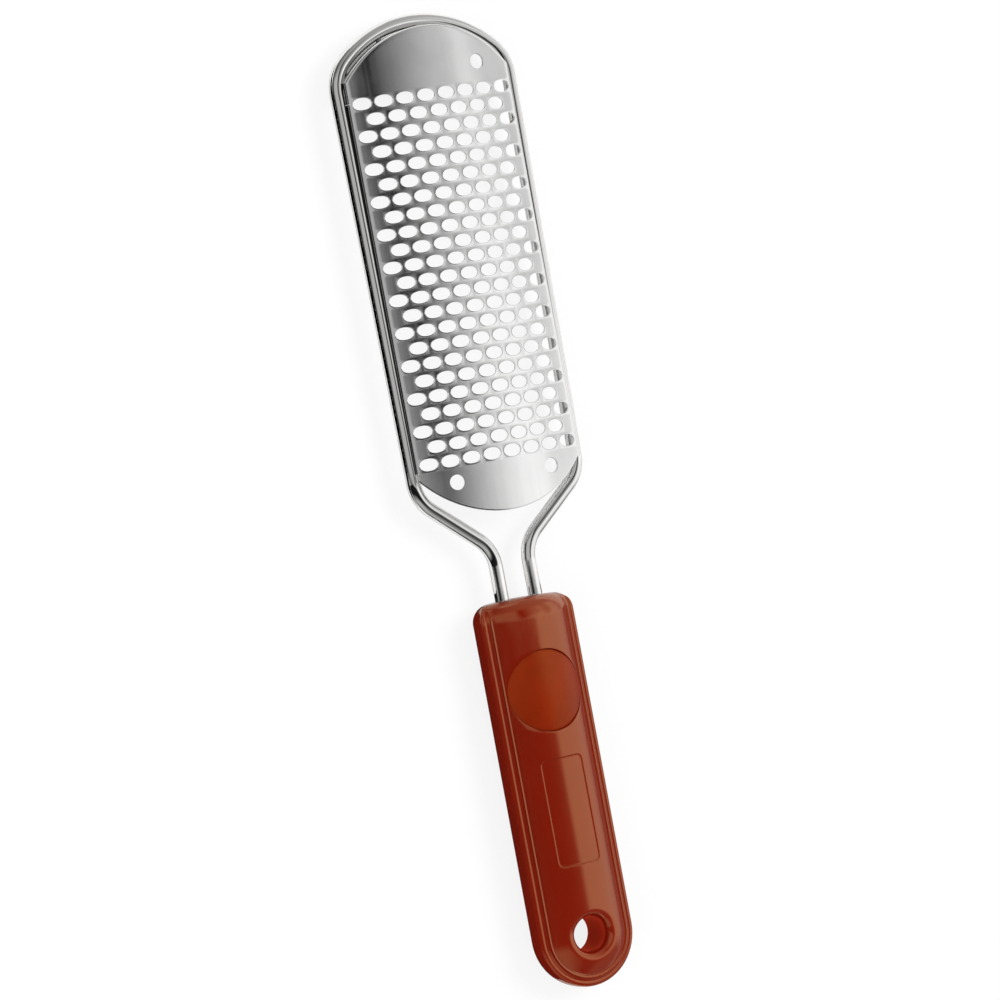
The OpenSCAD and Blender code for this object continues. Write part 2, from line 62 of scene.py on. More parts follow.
MM = 0.001
TIP_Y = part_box("wire_frame")[1][1]
TAIL_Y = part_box("back_shell")[0][1]
MOUTH_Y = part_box("back_shell")[1][1]
PLATE_LOW_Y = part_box("rasp_plate")[0][1]


def length(name, description, default, low=0.0):
    """A length shown in the scene's own unit."""
    return FloatProperty(
        name=name, description=description, default=default, min=low,
        unit="LENGTH", subtype="DISTANCE", precision=5
    )


def turn(name, description, degrees):
    """An angle, kept in radians and given here in degrees."""
    return FloatProperty(
        name=name, description=description, default=math.radians(degrees), unit="ROTATION", subtype="ANGLE"
    )


def share(name, description, default, high=1.0):
    """A plain number from zero up."""
    return FloatProperty(
        name=name, description=description, default=default, min=0.0, max=high,
        subtype="FACTOR", precision=4
    )


def number(name, description, default, low=-10.0):
    """A number that is no share."""
    return FloatProperty(name=name, description=description, default=default, min=low, precision=4)


def colour(name, description, default):
    """A linear colour."""
    return FloatVectorProperty(
        name=name, description=description, default=default, min=0.0, max=1.0, size=3, subtype="COLOR"
    )


class WireSizes(bpy.types.PropertyGroup):
    """Sizes of the bent wire."""

    wire_d: length("Wire thickness", "Diameter of the wire", 3.8 * MM)
    wire_z: length("Wire height", "Height of the wire's middle over the table", 6.8 * MM)
    arch_r: length("Arch radius", "Radius of the arch at the tip, to the wire's middle", 32 * MM)
    corner_r: length("Corner radius", "Radius of the bend between the arch and a leg", 10.8 * MM)
    shoulder_half: length("Half width", "Half of the loop's width at the corners", 25.35 * MM)
    leg_lean: turn("Leg lean", "How far the legs lean in towards the handle", 0.68)
    leg_len: length("Leg length", "Length of a straight leg", 102.168 * MM)
    bend_r: length("Neck bend radius", "Radius of the two bends at the neck", 10 * MM)
    neck_slant: turn("Neck slant", "Slant of the stretch that closes in on the neck", 50.6)
    neck_half: length("Neck half width", "Half of the distance between the legs in the handle", 4.95 * MM)
    leg_depth: length("Leg depth", "How far the legs reach into the handle", 42.496 * MM)
    head_d: length("Leg end width", "Diameter of the upset end of a leg", 5.4 * MM)
    head_t: length("Leg end thickness", "Length of the upset end of a leg", 1.2 * MM)
    sides: IntProperty(name="Sides", description="Faces round the wire", default=40, min=12, max=96)


class PlateSizes(bpy.types.PropertyGroup):
    """Sizes of the rasp plate."""

    plate_w: length("Width", "Width of the plate", 48 * MM)
    plate_t: length("Thickness", "Thickness of the sheet", 0.5 * MM)
    crown_r: length("Crown radius", "Radius of the crown across the plate", 91 * MM)
    crest_z: length("Crest height", "Height of the crown's crest over the table", 12.9 * MM)
    skirt_gap: length("Skirt gap", "Gap between the arch and the skirt inside it", 0.12 * MM)
    side_drop: length("Side skirt", "Drop of the side skirts under the crest", 5 * MM)
    arch_drop: length("Arch skirt", "Drop of the arch skirt under the crest", 7 * MM)
    slit_len: length("Slit", "Length of the slit between side skirt and arch skirt", 5.8 * MM)
    slit_lip_z: length("Slit lip", "Height of the short folded lip's lower edge beside the slit", 8.15 * MM)
    skirt_inset: length("Skirt inset", "From the free edge's lowest point to the side skirts", 13.3 * MM)
    edge_r: length("Free edge radius", "Radius of the free edge above the neck", 31 * MM)
    grid_top: length("Top margin", "Margin between the tip and the field of holes", 19.9 * MM)
    grid_bottom: length("Bottom margin", "Margin between the free edge and the field of holes", 13 * MM)
    grid_side: length("Side margin", "Margin between the plate's side and the field of holes", 0.28 * MM)
    rows: IntProperty(name="Rows", description="Rows of cutting holes", default=23, min=3, max=60)
    cols: IntProperty(name="Columns", description="Holes in a long row", default=8, min=2, max=20)
    hole_w: share("Hole width", "Width of a hole as a share of the column pitch", 0.885)
    hole_h: share("Hole height", "Height of a hole as a share of the row pitch", 0.76)
    lip_h: length("Lip height", "Height of the raised cutting lip", 0.04 * MM)
    lip_reach: length("Lip reach", "How far the sheet rises to a lip", 0.16 * MM)
    hole_power: number("Hole fullness", "How full an oval is; 2 is an ellipse", 2.15, 1.5)
    hole_spread: share("Hole spread", "Spread of the holes' sizes, as a share", 0.012)
    pin_d: length("Locating hole", "Diameter of a locating hole", 4 * MM)
    pin_x: length("Locating hole offset", "Distance of a locating hole from the middle", 14 * MM)
    pin_top: length("Upper locating hole", "Distance of the upper hole from the tip", 15 * MM)
    pin_low: length("Lower locating holes", "Distance of the lower holes from the free edge", 9.4 * MM)


class HandleSizes(bpy.types.PropertyGroup):
    """Sizes of the moulded handle."""

    body_half: length("Half width", "Half of the handle's width", 13.9 * MM)
    shoulder_z: length("Shoulder height", "Height of the shoulder beside the raised front", 10.2 * MM)
    back_round: length("Back rounding", "Radius from the flat back to the sides", 7 * MM)
    shoulder_round: length("Shoulder rounding", "Radius of the shoulder's outer edge", 1 * MM)
    rim_half: length("Rim half width", "Half width of the opening that the front sits in", 11.5 * MM)
    seat_z: length("Seat height", "Height at which the front sits on the back", 8.2 * MM)
    roll_r: length("Mouth roll", "Radius of the rolled edge at the mouth", 4.2 * MM)
    mouth_bulge: length("Mouth bulge", "How far the mouth's middle stands out past its sides", 0.8 * MM)
    ledge_half: length("Ledge", "Half width at the inner end of the shoulder's outer ledge", 12.35 * MM)
    ledge_drop: length("Ledge drop", "Drop of each ledge of the shoulder towards the middle", 0.07 * MM)
    lip_z: length("Lip height", "Height of the shoulder's lip beside the front", 10.66 * MM)
    cover_gap: length("Seam", "Seam between the front and the shoulder", 0.04 * MM)
    cover_edge: length("Front edge", "Width of the narrow ledge along the raised front's edge", 0.62 * MM)
    cover_edge_z: length("Front edge height", "Height of that narrow ledge", 10.92 * MM)
    crest_z: length("Crest height", "Height of the raised front's crest", 14.7 * MM)
    crown_r: length("Crown radius", "Radius of the raised front across the handle", 17.6 * MM)
    pad_y: length("Thumb rest place", "Where the thumb rest's middle is", -50.705 * MM, -1.0)
    pad_r: length("Thumb rest radius", "Radius of the round recess for the thumb rest", 10.78 * MM)
    pad_gap: length("Thumb rest gap", "Gap round the thumb rest", 0.03 * MM)
    pad_crest_z: length("Thumb rest height", "Height of the thumb rest's crest", 14.7 * MM)
    pad_crown_r: length("Thumb rest crown", "Radius of the thumb rest's crown across the handle", 18 * MM)
    pad_long_r: length("Thumb rest long crown", "Radius of its crown along the handle", 75 * MM)
    pad_floor_z: length("Thumb rest floor", "Height of the floor under the thumb rest", 9.9 * MM)
    label_y: length("Panel place", "Where the shallow panel's middle is", -82.613 * MM, -1.0)
    label_w: length("Panel width", "Width of the shallow panel", 12.3 * MM)
    label_len: length("Panel length", "Length of the shallow panel", 28.365 * MM)
    label_depth: length("Panel depth", "Depth of the shallow panel", 0.3 * MM)
    label_round: length("Panel corners", "Radius of the panel's corners", 1.6 * MM)
    hang_r: length("Hanging hole", "Radius of the hanging hole", 5 * MM)
    hang_round: length("Hanging hole rounding", "Radius of the hole's rounded edge at the back", 1.6 * MM)
    flare_r: length("Hanging hole at the front", "Radius under the rounded front edge", 4.75 * MM)
    flare_round: length("Hanging hole front edge", "Radius of that rounded edge", 1.9 * MM)
    screw_one: length("First screw", "Place of the screw near the mouth", -34.587 * MM, -1.0)
    screw_two: length("Second screw", "Place of the screw near the tail", -101.557 * MM, -1.0)
    screw_hole_r: length("Screw hole", "Radius of the hole for a screw's head", 2.5 * MM)
    screw_head_r: length("Screw head", "Radius of a screw's head", 2.4 * MM)
    head_low_z: length("Screw head sink", "Height of a screw head's face over the table", 0.2 * MM)
    head_high_z: length("Screw seat", "Height of the seat under a screw's head", 1.8 * MM)
    shank_r: length("Screw shank", "Radius of a screw's shank", 1.4 * MM)
    shank_z: length("Screw end", "Height of a screw's end over the table", 11.2 * MM)


class FinishColours(bpy.types.PropertyGroup):
    """Colours of the finishes."""

    wire_steel: colour("Wire steel", "Polished stainless wire", (0.82, 0.815, 0.80))
    plate_steel: colour("Plate steel", "Rolled stainless sheet", (0.80, 0.80, 0.795))
    weld_steel: colour("Weld steel", "Spot welds", (0.42, 0.41, 0.40))
    anchor_steel: colour("Anchor steel", "Zinc plated cross bar", (0.55, 0.56, 0.57))
    screw_steel: colour("Screw steel", "Zinc plated screws", (0.60, 0.61, 0.62))
    handle_plastic: colour("Handle plastic", "Glossy moulded handle", (0.175, 0.0074, 0.0022))
    pad_plastic: colour("Pad plastic", "Matt thumb rest", (0.19, 0.0085, 0.0008))
    floor_white: colour("Floor", "Pale floor", (0.8, 0.8, 0.8))


class StageSizes(bpy.types.PropertyGroup):
    """Camera and light."""

    lens: number("Lens", "Focal length in millimetres", 144.0, 10.0)
    camera_place: FloatVectorProperty(
        name="Camera place", description="Where the camera stands", default=(-0.4809, 0.0038, 0.9341),
        subtype="TRANSLATION", unit="LENGTH", precision=4
    )
    camera_look: FloatVectorProperty(
        name="Camera direction", description="Where the camera looks", default=(0.4602, -0.0059, -0.8878),
        subtype="XYZ"
    )
    camera_up: FloatVectorProperty(
        name="Camera up", description="Which way is up in the picture", default=(0.1644, 0.9832, 0.0787),
        subtype="XYZ"
    )
    shift_x: number("Shift across", "Lens shift across", -0.0016)
    shift_y: number("Shift up", "Lens shift upwards", 0.0091)
    sky_light: number("Sky light", "Strength of the light all round", 0.70, 0.0)
    key_power: number("Key power", "Power of the big soft lamp on the right", 15.0, 0.0)
    fill_power: number("Fill power", "Power of the soft lamp on the left", 6.0, 0.0)
    floor_glow: share("Floor glow", "Share of plain white in the floor as the camera sees it", 0.85)
    floor_mirror: share("Floor in reflections", "Share of plain white in the mirrored floor", 0.1)
    card_peak: number("Card level", "Brightest level of the reflected card", 1.25, 0.0)
    card_r: length("Card distance", "Distance of the reflected card", 1.4)
    card_reach: length("Card reach", "How far the reflected card runs along the object, each way", 6.0)
    lamp_size: length("Lamp size", "Diameter of each soft lamp", 0.9)


def sizes(name):
    """The group of sizes kept in the scene under that name."""
    return getattr(bpy.context.scene, name)


class Skin:
    """Patches of one surface, gathered as whole arrays and joined where their edges meet."""

    def __init__(self):
        self.points, self.faces, self.marks, self.count = [], [], [], 0

    def add(self, points, faces, marks=None):
        """Points (n, 3), faces (m, 4) and, where the pattern follows the surface, marks (n, 2) for the
        UV map."""
        self.points.append(points)
        self.faces.append(faces + self.count)
        self.marks.append(np.zeros((len(points), 2)) if marks is None else marks)
        self.count += len(points)

    def grid(self, points, closed=False, marks=None, keep=None):
        """A grid of points (rows, columns, 3), its rows closed into rings if asked, less the faces not
        kept."""
        rows, cols = points.shape[:2]
        faces = grid_faces(rows, cols, closed)
        if keep is not None:
            faces = faces[keep.ravel()]
        self.add(points.reshape(-1, 3), faces, None if marks is None else marks.reshape(-1, 2))

    def grids(self, stack):
        """Many like grids with closed rows at once: (grids, rows, columns, 3)."""
        many, rows, cols = stack.shape[:3]
        faces = grid_faces(rows, cols, True)
        steps = np.arange(many)[:, None, None] * rows * cols
        self.add(stack.reshape(-1, 3), (faces[None] + steps).reshape(-1, 4))

    def mesh(self, name, smooth_to=40.0, join=0.002 * MM, closed=True):
        """Joins the patches, closes slits between them, points the faces outwards and shades them
        smooth up to an angle in degrees."""
        mesh = bpy.data.meshes.new(name)
        faces = np.concatenate(self.faces)
        mesh.from_pydata(np.concatenate(self.points).tolist(), [], faces.tolist())
        layer = mesh.uv_layers.new(name="along")
        layer.data.foreach_set("uv", np.concatenate(self.marks)[faces].astype(np.float32).ravel())
        work = bmesh.new()
        work.from_mesh(mesh)
        bmesh.ops.remove_doubles(work, verts=work.verts, dist=join)
        bmesh.ops.dissolve_degenerate(work, edges=work.edges, dist=join / 10)
        if closed:
            bmesh.ops.holes_fill(work, edges=[edge for edge in work.edges if edge.is_boundary])
        bmesh.ops.recalc_face_normals(work, faces=work.faces)
        work.to_mesh(mesh)
        work.free()
        mesh.polygons.foreach_set("use_smooth", np.ones(len(mesh.polygons), dtype=bool))
        mesh.set_sharp_from_angle(angle=math.radians(smooth_to))
        return mesh


def grid_faces(rows, cols, closed=False):
    """Quads of a grid: each point with the next one in its row and the two beside them in the next
    row."""
    i = np.arange(rows - 1)[:, None]
    j = np.arange(cols if closed else cols - 1)[None, :]
    after = (j + 1) % cols
    corners = (i * cols + j, i * cols + after, (i + 1) * cols + after, (i + 1) * cols + j)
    return np.stack(np.broadcast_arrays(*corners), axis=-1).reshape(-1, 4)


def window_loop(i0, i1, j0, j1):
    """Index pairs of a grid's points round a window, anticlockwise, each once."""
    low = [(i0, j) for j in range(j0, j1)]
    right = [(i, j1) for i in range(i0, i1)]
    high = [(i1, j) for j in range(j1, j0, -1)]
    left = [(i, j0) for i in range(i1, i0, -1)]
    return tuple(np.array(low + right + high + left).T)


def put(mesh, slot, node):
    """Makes the piece's object, has it ride on the body and stand for its solid."""
    old = bpy.data.objects.get(mesh.name)
    if old is not None:
        bpy.data.objects.remove(old)
    piece = bpy.data.objects.new(mesh.name, mesh)
    bpy.context.scene.collection.objects.link(piece)
    mesh.materials.append(finish(slot))
    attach(piece, "root")
    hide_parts(node)
    return piece


def walk(steps, start, heading):
    """Points, headings and lengths along a chain of steps, each one starting where the last ended.

    A step is (length, 0, samples) for a straight run, or (radius, turn, samples) for an arc, whose
    points lie at the radius from a centre beside the path, and whose turn to the right counts as
    positive.
    """
    place, points, headings = np.array(start, float), [np.array([start], float)], [np.array([heading])]
    for size, bend, samples in steps:
        t = np.linspace(0, 1, samples + 1)[1:, None]
        if bend == 0:
            along = place + t * size * np.array([math.cos(heading), math.sin(heading)])
            turned = np.full(samples, heading)
        else:
            side = math.copysign(1, bend)
            turned = heading - bend * t[:, 0]
            left = np.stack([-np.sin(turned), np.cos(turned)], axis=-1)
            centre = place - side * size * np.array([-math.sin(heading), math.cos(heading)])
            along = centre + side * size * left
        points.append(along)
        headings.append(turned)
        place, heading = along[-1], turned[-1]
    points, headings = np.concatenate(points), np.concatenate(headings)
    gaps = np.linalg.norm(np.diff(points, axis=0), axis=1)
    return points, headings, np.concatenate([[0], np.cumsum(gaps)])


def arch_turn(w):
    """Half of the angle that the arch's own radius spans, from its top to the tighter bend into a leg."""
    return math.asin((w.shoulder_half - w.corner_r * math.cos(w.leg_lean)) / (w.arch_r - w.corner_r))


def wire_path(w):
    """The right half of the wire's middle line, from the top of the arch to the end of the leg: a chain
    of arcs and straight runs that carry on from each other."""
    slant_side = w.bend_r * (1 - math.cos(w.neck_slant))
    leg_x = w.shoulder_half - w.leg_len * math.sin(w.leg_lean)
    slant_x = leg_x - w.bend_r * (math.cos(w.leg_lean) - math.cos(w.neck_slant))
    slant_len = (slant_x - slant_side - w.neck_half) / math.sin(w.neck_slant)
    steps = [
        (w.arch_r, arch_turn(w), 26),
        (w.corner_r, math.pi / 2 + w.leg_lean - arch_turn(w), 18),
        (w.leg_len, 0, 24),
        (w.bend_r, w.neck_slant - w.leg_lean, 16),
        (slant_len, 0, 4),
        (w.bend_r, -w.neck_slant, 16),
    ]
    start = (0, TIP_Y - w.wire_d / 2)
    neck_y = walk(steps, start, 0.0)[0][-1, 1]
    end_y = MOUTH_Y - w.leg_depth
    steps.append((neck_y - end_y - w.head_t, 0, 10))
    return walk(steps, start, 0.0)


def arch_wire():
    """A circle carried along the wire's middle line.

    A point of the skin is the middle line's point plus the radius times the cosine of the angle round
    the wire along the line's side direction, plus the radius times the sine straight up. At each leg's
    end the radius steps out to the upset head and then shrinks to nothing, which closes the end.
    """
    w = sizes("foot_file_wire")
    points, headings, lengths = wire_path(w)
    radii = np.full(len(points), w.wire_d / 2)
    head = w.head_d / 2
    ends = np.array([[0, head * 0.93], [0.04, head], [0.96, head], [1, head * 0.95], [1, 0]])
    tail = points[-1] + ends[:, :1] * w.head_t * np.array([0, -1])
    points = np.concatenate([points, tail])
    headings = np.concatenate([headings, np.full(len(ends), headings[-1])])
    lengths = np.concatenate([lengths, lengths[-1] + ends[:, 0] * w.head_t])
    radii = np.concatenate([radii, ends[:, 1]])
    mirrored = points[:0:-1] * [-1, 1]
    points = np.concatenate([mirrored, points])
    headings = np.concatenate([-headings[:0:-1], headings])
    lengths = np.concatenate([-lengths[:0:-1], lengths])
    radii = np.concatenate([radii[:0:-1], radii])
    round_by = np.linspace(0, 2 * np.pi, w.sides + 1)
    side = np.stack([-np.sin(headings), np.cos(headings)], axis=-1)
    spread = radii[:, None] * np.cos(round_by)
    flat = points[:, None] + spread[..., None] * side[:, None]
    high = w.wire_z + radii[:, None] * np.sin(round_by)
    skin = Skin()
    per_metre = 10
    marks = np.broadcast_arrays(round_by[None] * w.wire_d / 2, lengths[:, None])
    marks = np.stack(marks, axis=-1) * per_metre
    skin.grid(np.concatenate([flat, high[..., None]], axis=-1), marks=marks)
    return skin.mesh("arch_wire", 50)


class PlateLayout:
    """Places on the plate, worked out once from its sizes, in metres."""

    seg = 4

    def __init__(self, p, w):
        self.p, self.w = p, w
        self.low_y, self.tip_y = PLATE_LOW_Y, TIP_Y
        self.axis_z = p.crest_z - p.crown_r
        self.arch_y = TIP_Y - w.wire_d / 2 - w.arch_r
        self.arch_edge = w.arch_r - w.wire_d / 2 - p.skirt_gap
        reach = TIP_Y - self.low_y
        self.row_pitch = (reach - p.grid_top - p.grid_bottom) / p.rows
        self.col_pitch = (p.plate_w - 2 * p.grid_side) / p.cols
        self.field_u = p.cols * self.col_pitch / 2
        self.field_low = self.low_y + p.grid_bottom
        self.field_high = self.field_low + self.row_pitch * p.rows
        self.half = p.plate_w / 2
        self.corner_y = self.arch_y + math.sqrt(self.arch_edge**2 - self.half**2)
        self.skirt_high = self.corner_y - p.slit_len
        self.skirt_low = self.low_y + p.skirt_inset
        self.u = np.linspace(-self.field_u, self.field_u, 2 * self.seg * p.cols + 1)
        self.x = p.crown_r * np.sin(self.u / p.crown_r)
        self.y = np.linspace(self.field_low, self.field_high, self.seg * p.rows + 1)
        self.skirt_rows = int(np.argmin(np.abs(self.y - self.skirt_high)))

    def crown(self, u, y, out):
        """A point of the crowned sheet: arc length u across, y along, and out of the outer face."""
        u, y, out = np.broadcast_arrays(u, y, out)
        turned = u / self.p.crown_r
        r = self.p.crown_r + out
        return np.stack([r * np.sin(turned), y, self.axis_z + r * np.cos(turned)], axis=-1)

    def over(self, x, y, out):
        """The same by the distance x from the middle instead of the arc length."""
        return self.crown(self.p.crown_r * np.arcsin(x / self.p.crown_r), y, out)

    def leg_half(self, y):
        """Distance of the wire's middle from the plate's middle, at y along a leg."""
        w = self.w
        bend_y = self.arch_y + (w.arch_r - w.corner_r) * math.cos(arch_turn(w))
        leg_y = bend_y - w.corner_r * math.sin(w.leg_lean)
        return w.shoulder_half - (leg_y - y) * math.tan(w.leg_lean)


def oval(angle, width, height, margin, power):
    """Distance from an oval's middle to its outline along a direction: the ellipse's formula with a
    higher power than two, which fills its corners out."""
    across = np.abs(np.cos(angle)) / (width / 2 + margin)
    along = np.abs(np.sin(angle)) / (height / 2 + margin)
    return (across**power + along**power) ** (-1 / power)


def lip_bands(p):
    """Rings of a cutting hole from the sheet to the underside: distance outside the hole's edge, and
    height."""
    reach, rise, t = p.lip_reach, p.lip_h, p.plate_t
    bands = [(reach, 0.04 * rise), (reach * 0.55, 0.32 * rise), (reach * 0.16, 0.92 * rise)]
    return np.array(bands + [(0.0, rise), (-0.04 * MM, 0.72 * rise), (-0.02 * MM, -t)])


def cutting_field(skin, lay):
    """The field of holes: for each hole one tile, whose rings run from the cell's border over the
    raised lip, through the hole and back under the sheet to the border. Every other row is set off by
    half a cell, and plain half cells fill its ends."""
    p, seg = lay.p, lay.seg
    rows, cols = np.meshgrid(np.arange(p.rows), np.arange(p.cols), indexing="ij")
    short = rows % 2
    keep = cols < p.cols - short
    u = (cols - (p.cols - 1 - short) / 2) * lay.col_pitch
    y = lay.field_high - (rows + 0.5) * lay.row_pitch
    centres = np.stack([u[keep], y[keep]], axis=-1)
    a, b = window_loop(0, seg, 0, 2 * seg)
    border = np.stack([(b / (2 * seg) - 0.5) * lay.col_pitch, (a / seg - 0.5) * lay.row_pitch], axis=-1)
    angle = np.arctan2(border[:, 1], border[:, 0])
    width, height = lay.col_pitch * p.hole_w, lay.row_pitch * p.hole_h
    spread = 1 + p.hole_spread * np.random.default_rng(7).standard_normal((len(centres), 1, 2))
    bands = lip_bands(p)
    reach = oval(angle[None], width, height, bands[:, :1], p.hole_power)
    ring = reach[..., None] * np.stack([np.cos(angle), np.sin(angle)], axis=-1)
    flat = np.concatenate([border[None], ring, border[None]])
    flat = np.broadcast_to(flat, (len(centres),) + flat.shape).copy()
    flat[:, 1:-1] *= spread[:, None]
    flat += centres[:, None, None]
    out = np.concatenate([[0], bands[:, 1], [-p.plate_t]])[None, :, None]
    skin.grids(lay.crown(flat[..., 0], flat[..., 1], out))
    i = np.arange(1, p.rows, 2)
    for side in (-1, 1):
        u = side * (lay.field_u - np.linspace(0, lay.col_pitch / 2, seg + 1))
        y = lay.field_high - (i[:, None] + np.linspace(0, 1, seg + 1)) * lay.row_pitch
        for row in y:
            for out in (0, -p.plate_t):
                skin.grid(lay.crown(u[None], row[:, None], out))


def plain_patch(skin, lay, y, holes):
    """A plain stretch of sheet over the columns of the field, with the given rows of y, both faces.

    A window is left round each locating hole, and rings run from it to the hole, through it and back
    below.
    """
    p = lay.p
    u = np.broadcast_to(lay.u, y.shape)
    keep = np.ones((y.shape[0] - 1, y.shape[1] - 1), bool)
    r, t, round_by = p.pin_d / 2, p.plate_t, 0.05 * MM
    flat_by, window_by = 0.35 * MM, 1.1 * MM
    bands = [(flat_by, 0), (round_by, 0), (0, -round_by), (0, round_by - t), (round_by, -t), (flat_by, -t)]
    for x0, y0 in holes:
        reach = r + window_by
        near_x = np.abs(lay.x - x0)
        j0, j1 = np.flatnonzero(near_x <= reach)[[0, -1]]
        mid = y[:, (j0 + j1) // 2]
        i0, i1 = np.flatnonzero(np.abs(mid - y0) <= reach)[[0, -1]]
        keep[i0:i1, j0:j1] = False
        loop = window_loop(i0, i1, j0, j1)
        lx, ly = lay.x[loop[1]], y[loop]
        angle = np.arctan2(ly - y0, lx - x0)
        aim = np.stack([np.cos(angle), np.sin(angle)], axis=-1)
        rings = [np.array([x0, y0]) + (r + margin) * aim for margin, _ in bands]
        edge = np.stack([lx, ly], axis=-1)
        flat = np.stack([edge] + rings + [edge])
        out = np.array([0] + [height for _, height in bands] + [-t])[:, None]
        skin.grid(lay.over(flat[..., 0], flat[..., 1], out), closed=True)
    for out in (0, -t):
        skin.grid(lay.crown(u, y, out), keep=keep)


def free_edge(skin, lay, inner, reach):
    """A free edge: from the patch's border out by reach, round the edge and back under the sheet, ends
    closed."""
    t, r, half_rung = lay.p.plate_t, 0.13 * MM, 0.01 * MM
    profile = [(0, 0), (0.7, 0), (0.92, -0.3 * r), (1, -r), (1, -t / 2 + half_rung)]
    profile += [(1, -t / 2 - half_rung), (1, r - t), (0.92, 0.3 * r - t), (0.7, -t), (0, -t)]
    s, out = np.array(profile).T
    flat = inner[:, None] + s[None, :, None] * reach[:, None]
    strip(skin, lay.over(flat[..., 0], flat[..., 1], out[None]))


def strip(skin, points):
    """A profile's points at each station (stations, points, 3), and a cap at the first and last
    station.

    A profile runs out along the outer face and back along the inner one, so that its cap joins each
    point to the one as far from the profile's other end.
    """
    skin.grid(points)
    half = points.shape[1] // 2
    for station in (0, -1):
        skin.grid(np.stack([points[station, :half], points[station, ::-1][:half]]))


def folded_edge(skin, lay, inner, aim, slope, fold_r, low_z, inner_shift):
    """A skirt: an arc from the sheet's slope to straight down about a centre under the border, a wall
    down to low_z, a rounded lower edge, and the same back up inside at the sheet's thickness."""
    p, t = lay.p, lay.p.plate_t
    top = lay.over(inner[:, 0], inner[:, 1], 0)
    under = lay.over(inner[:, 0], inner[:, 1], -t)
    slope, fold_r = np.broadcast_to(slope, len(inner)), np.broadcast_to(fold_r, len(inner))
    low_z = np.broadcast_to(low_z, len(inner))
    turned = slope[:, None] + (np.pi / 2 - slope[:, None]) * np.linspace(0.2, 1, 5)
    centre_d, centre_z = -fold_r * np.sin(slope), top[:, 2] - fold_r * np.cos(slope)
    inner_r = fold_r - t

    def arc(r):
        d = centre_d[:, None] + r[:, None] * np.sin(turned)
        return d, centre_z[:, None] + r[:, None] * np.cos(turned)

    out_d, out_z = arc(fold_r)
    in_d, in_z = arc(inner_r)
    wall_out, wall_in = centre_d + fold_r, centre_d + inner_r
    edge = 0.12 * MM
    low_d = np.stack([wall_out, wall_out - edge * 0.7, wall_in + edge * 0.7, wall_in], axis=-1)
    low = np.stack([low_z + edge, low_z, low_z, low_z + edge], axis=-1)
    d = np.concatenate([out_d, low_d, in_d[:, ::-1]], axis=1)
    z = np.concatenate([out_z, low, in_z[:, ::-1]], axis=1)
    flat = (inner + inner_shift)[:, None] + d[..., None] * aim[:, None]
    wall = np.concatenate([flat, z[..., None]], axis=-1)
    strip(skin, np.concatenate([top[:, None], wall, under[:, None]], axis=1))


def rasp_sheet():
    """The rasp plate as one closed skin: the field of holes, a plain patch at each end of it, and the
    folded or free edges all round. The crown is an arc across the plate, the same all along it."""
    p, w = sizes("foot_file_plate"), sizes("foot_file_wire")
    lay = PlateLayout(p, w)
    skin = Skin()
    cutting_field(skin, lay)
    arch_margin, low_margin, low_rows = 0.7 * MM, 0.4 * MM, 13
    high_r = lay.arch_edge - arch_margin
    high_y = lay.arch_y + np.sqrt(high_r**2 - lay.x**2)
    rise = np.linspace(0, 1, 15)[:, None]
    high = lay.field_high + rise * (high_y - lay.field_high)
    plain_patch(skin, lay, high, [(p.pin_x, lay.tip_y - p.pin_top)])
    middle = lay.low_y + p.edge_r
    low_y = middle - np.sqrt((p.edge_r - low_margin) ** 2 - lay.x**2)
    low = low_y + rise[:low_rows] / rise[low_rows - 1] * (lay.field_low - low_y)
    pin_y = lay.low_y + p.pin_low
    plain_patch(skin, lay, low, [(p.pin_x, pin_y), (-p.pin_x, pin_y)])

    edge_x = lay.x[-1]
    out_reach = lay.half - edge_x
    rows = lay.skirt_rows
    slope = lay.field_u / p.crown_r
    side_fold = out_reach / (1 - math.sin(slope))
    slit, tip_gap, sunk = 0.15 * MM, 0.05 * MM, 0.1 * MM
    for side in (-1, 1):
        lip_y = np.concatenate([lay.y[rows:], high[1:, 0 if side < 0 else -1]])
        stretches = (
            (lay.y[: rows + 1], (lay.skirt_low, lay.skirt_high), None),
            (lip_y, (lay.skirt_high + slit, lay.corner_y - tip_gap), p.slit_lip_z),
        )
        for field_y, ends, low_z in stretches:
            y = np.interp(field_y, field_y[[0, -1]], ends)
            if low_z is None:
                offset = np.abs(lay.leg_half(y) - lay.half + p.plate_t / 2)
                on_wire = w.wire_z + np.sqrt(np.maximum((w.wire_d / 2) ** 2 - offset**2, 0)) - sunk
                low_z = np.maximum(on_wire, p.crest_z - p.side_drop)
            inner = np.stack([np.full(len(y), side * edge_x), field_y], axis=-1)
            aim = np.broadcast_to([side, 0.0], inner.shape)
            shift = np.stack([np.zeros(len(y)), y - field_y], axis=-1)
            folded_edge(skin, lay, inner, aim, slope, side_fold, low_z, shift)

    inner = np.stack([lay.x, high_y], axis=-1)
    aim = (inner - [0, lay.arch_y]) / high_r
    slope = np.arctan(np.tan(lay.u / p.crown_r) * aim[:, 0])
    arch_fold = arch_margin / (1 - np.sin(slope))
    folded_edge(skin, lay, inner, aim, slope, arch_fold, p.crest_z - p.arch_drop, np.zeros(2))

    left = np.stack([np.full(low_rows, -edge_x), low[::-1, 0]], axis=-1)
    bottom = np.stack([lay.x, low_y], axis=-1)[1:-1]
    inner = np.concatenate([left, bottom, left[::-1] * [-1, 1]])
    sideways = np.tile([-out_reach, 0.0], (low_rows, 1))
    sideways[-1, 1] = middle - math.sqrt(p.edge_r**2 - lay.half**2) - low_y[0]
    down = (bottom - [0, middle]) / (p.edge_r - low_margin) * low_margin
    reach = np.concatenate([sideways, down, sideways[::-1] * [-1, 1]])
    free_edge(skin, lay, inner, reach)
    return skin.mesh("rasp_sheet", 38)


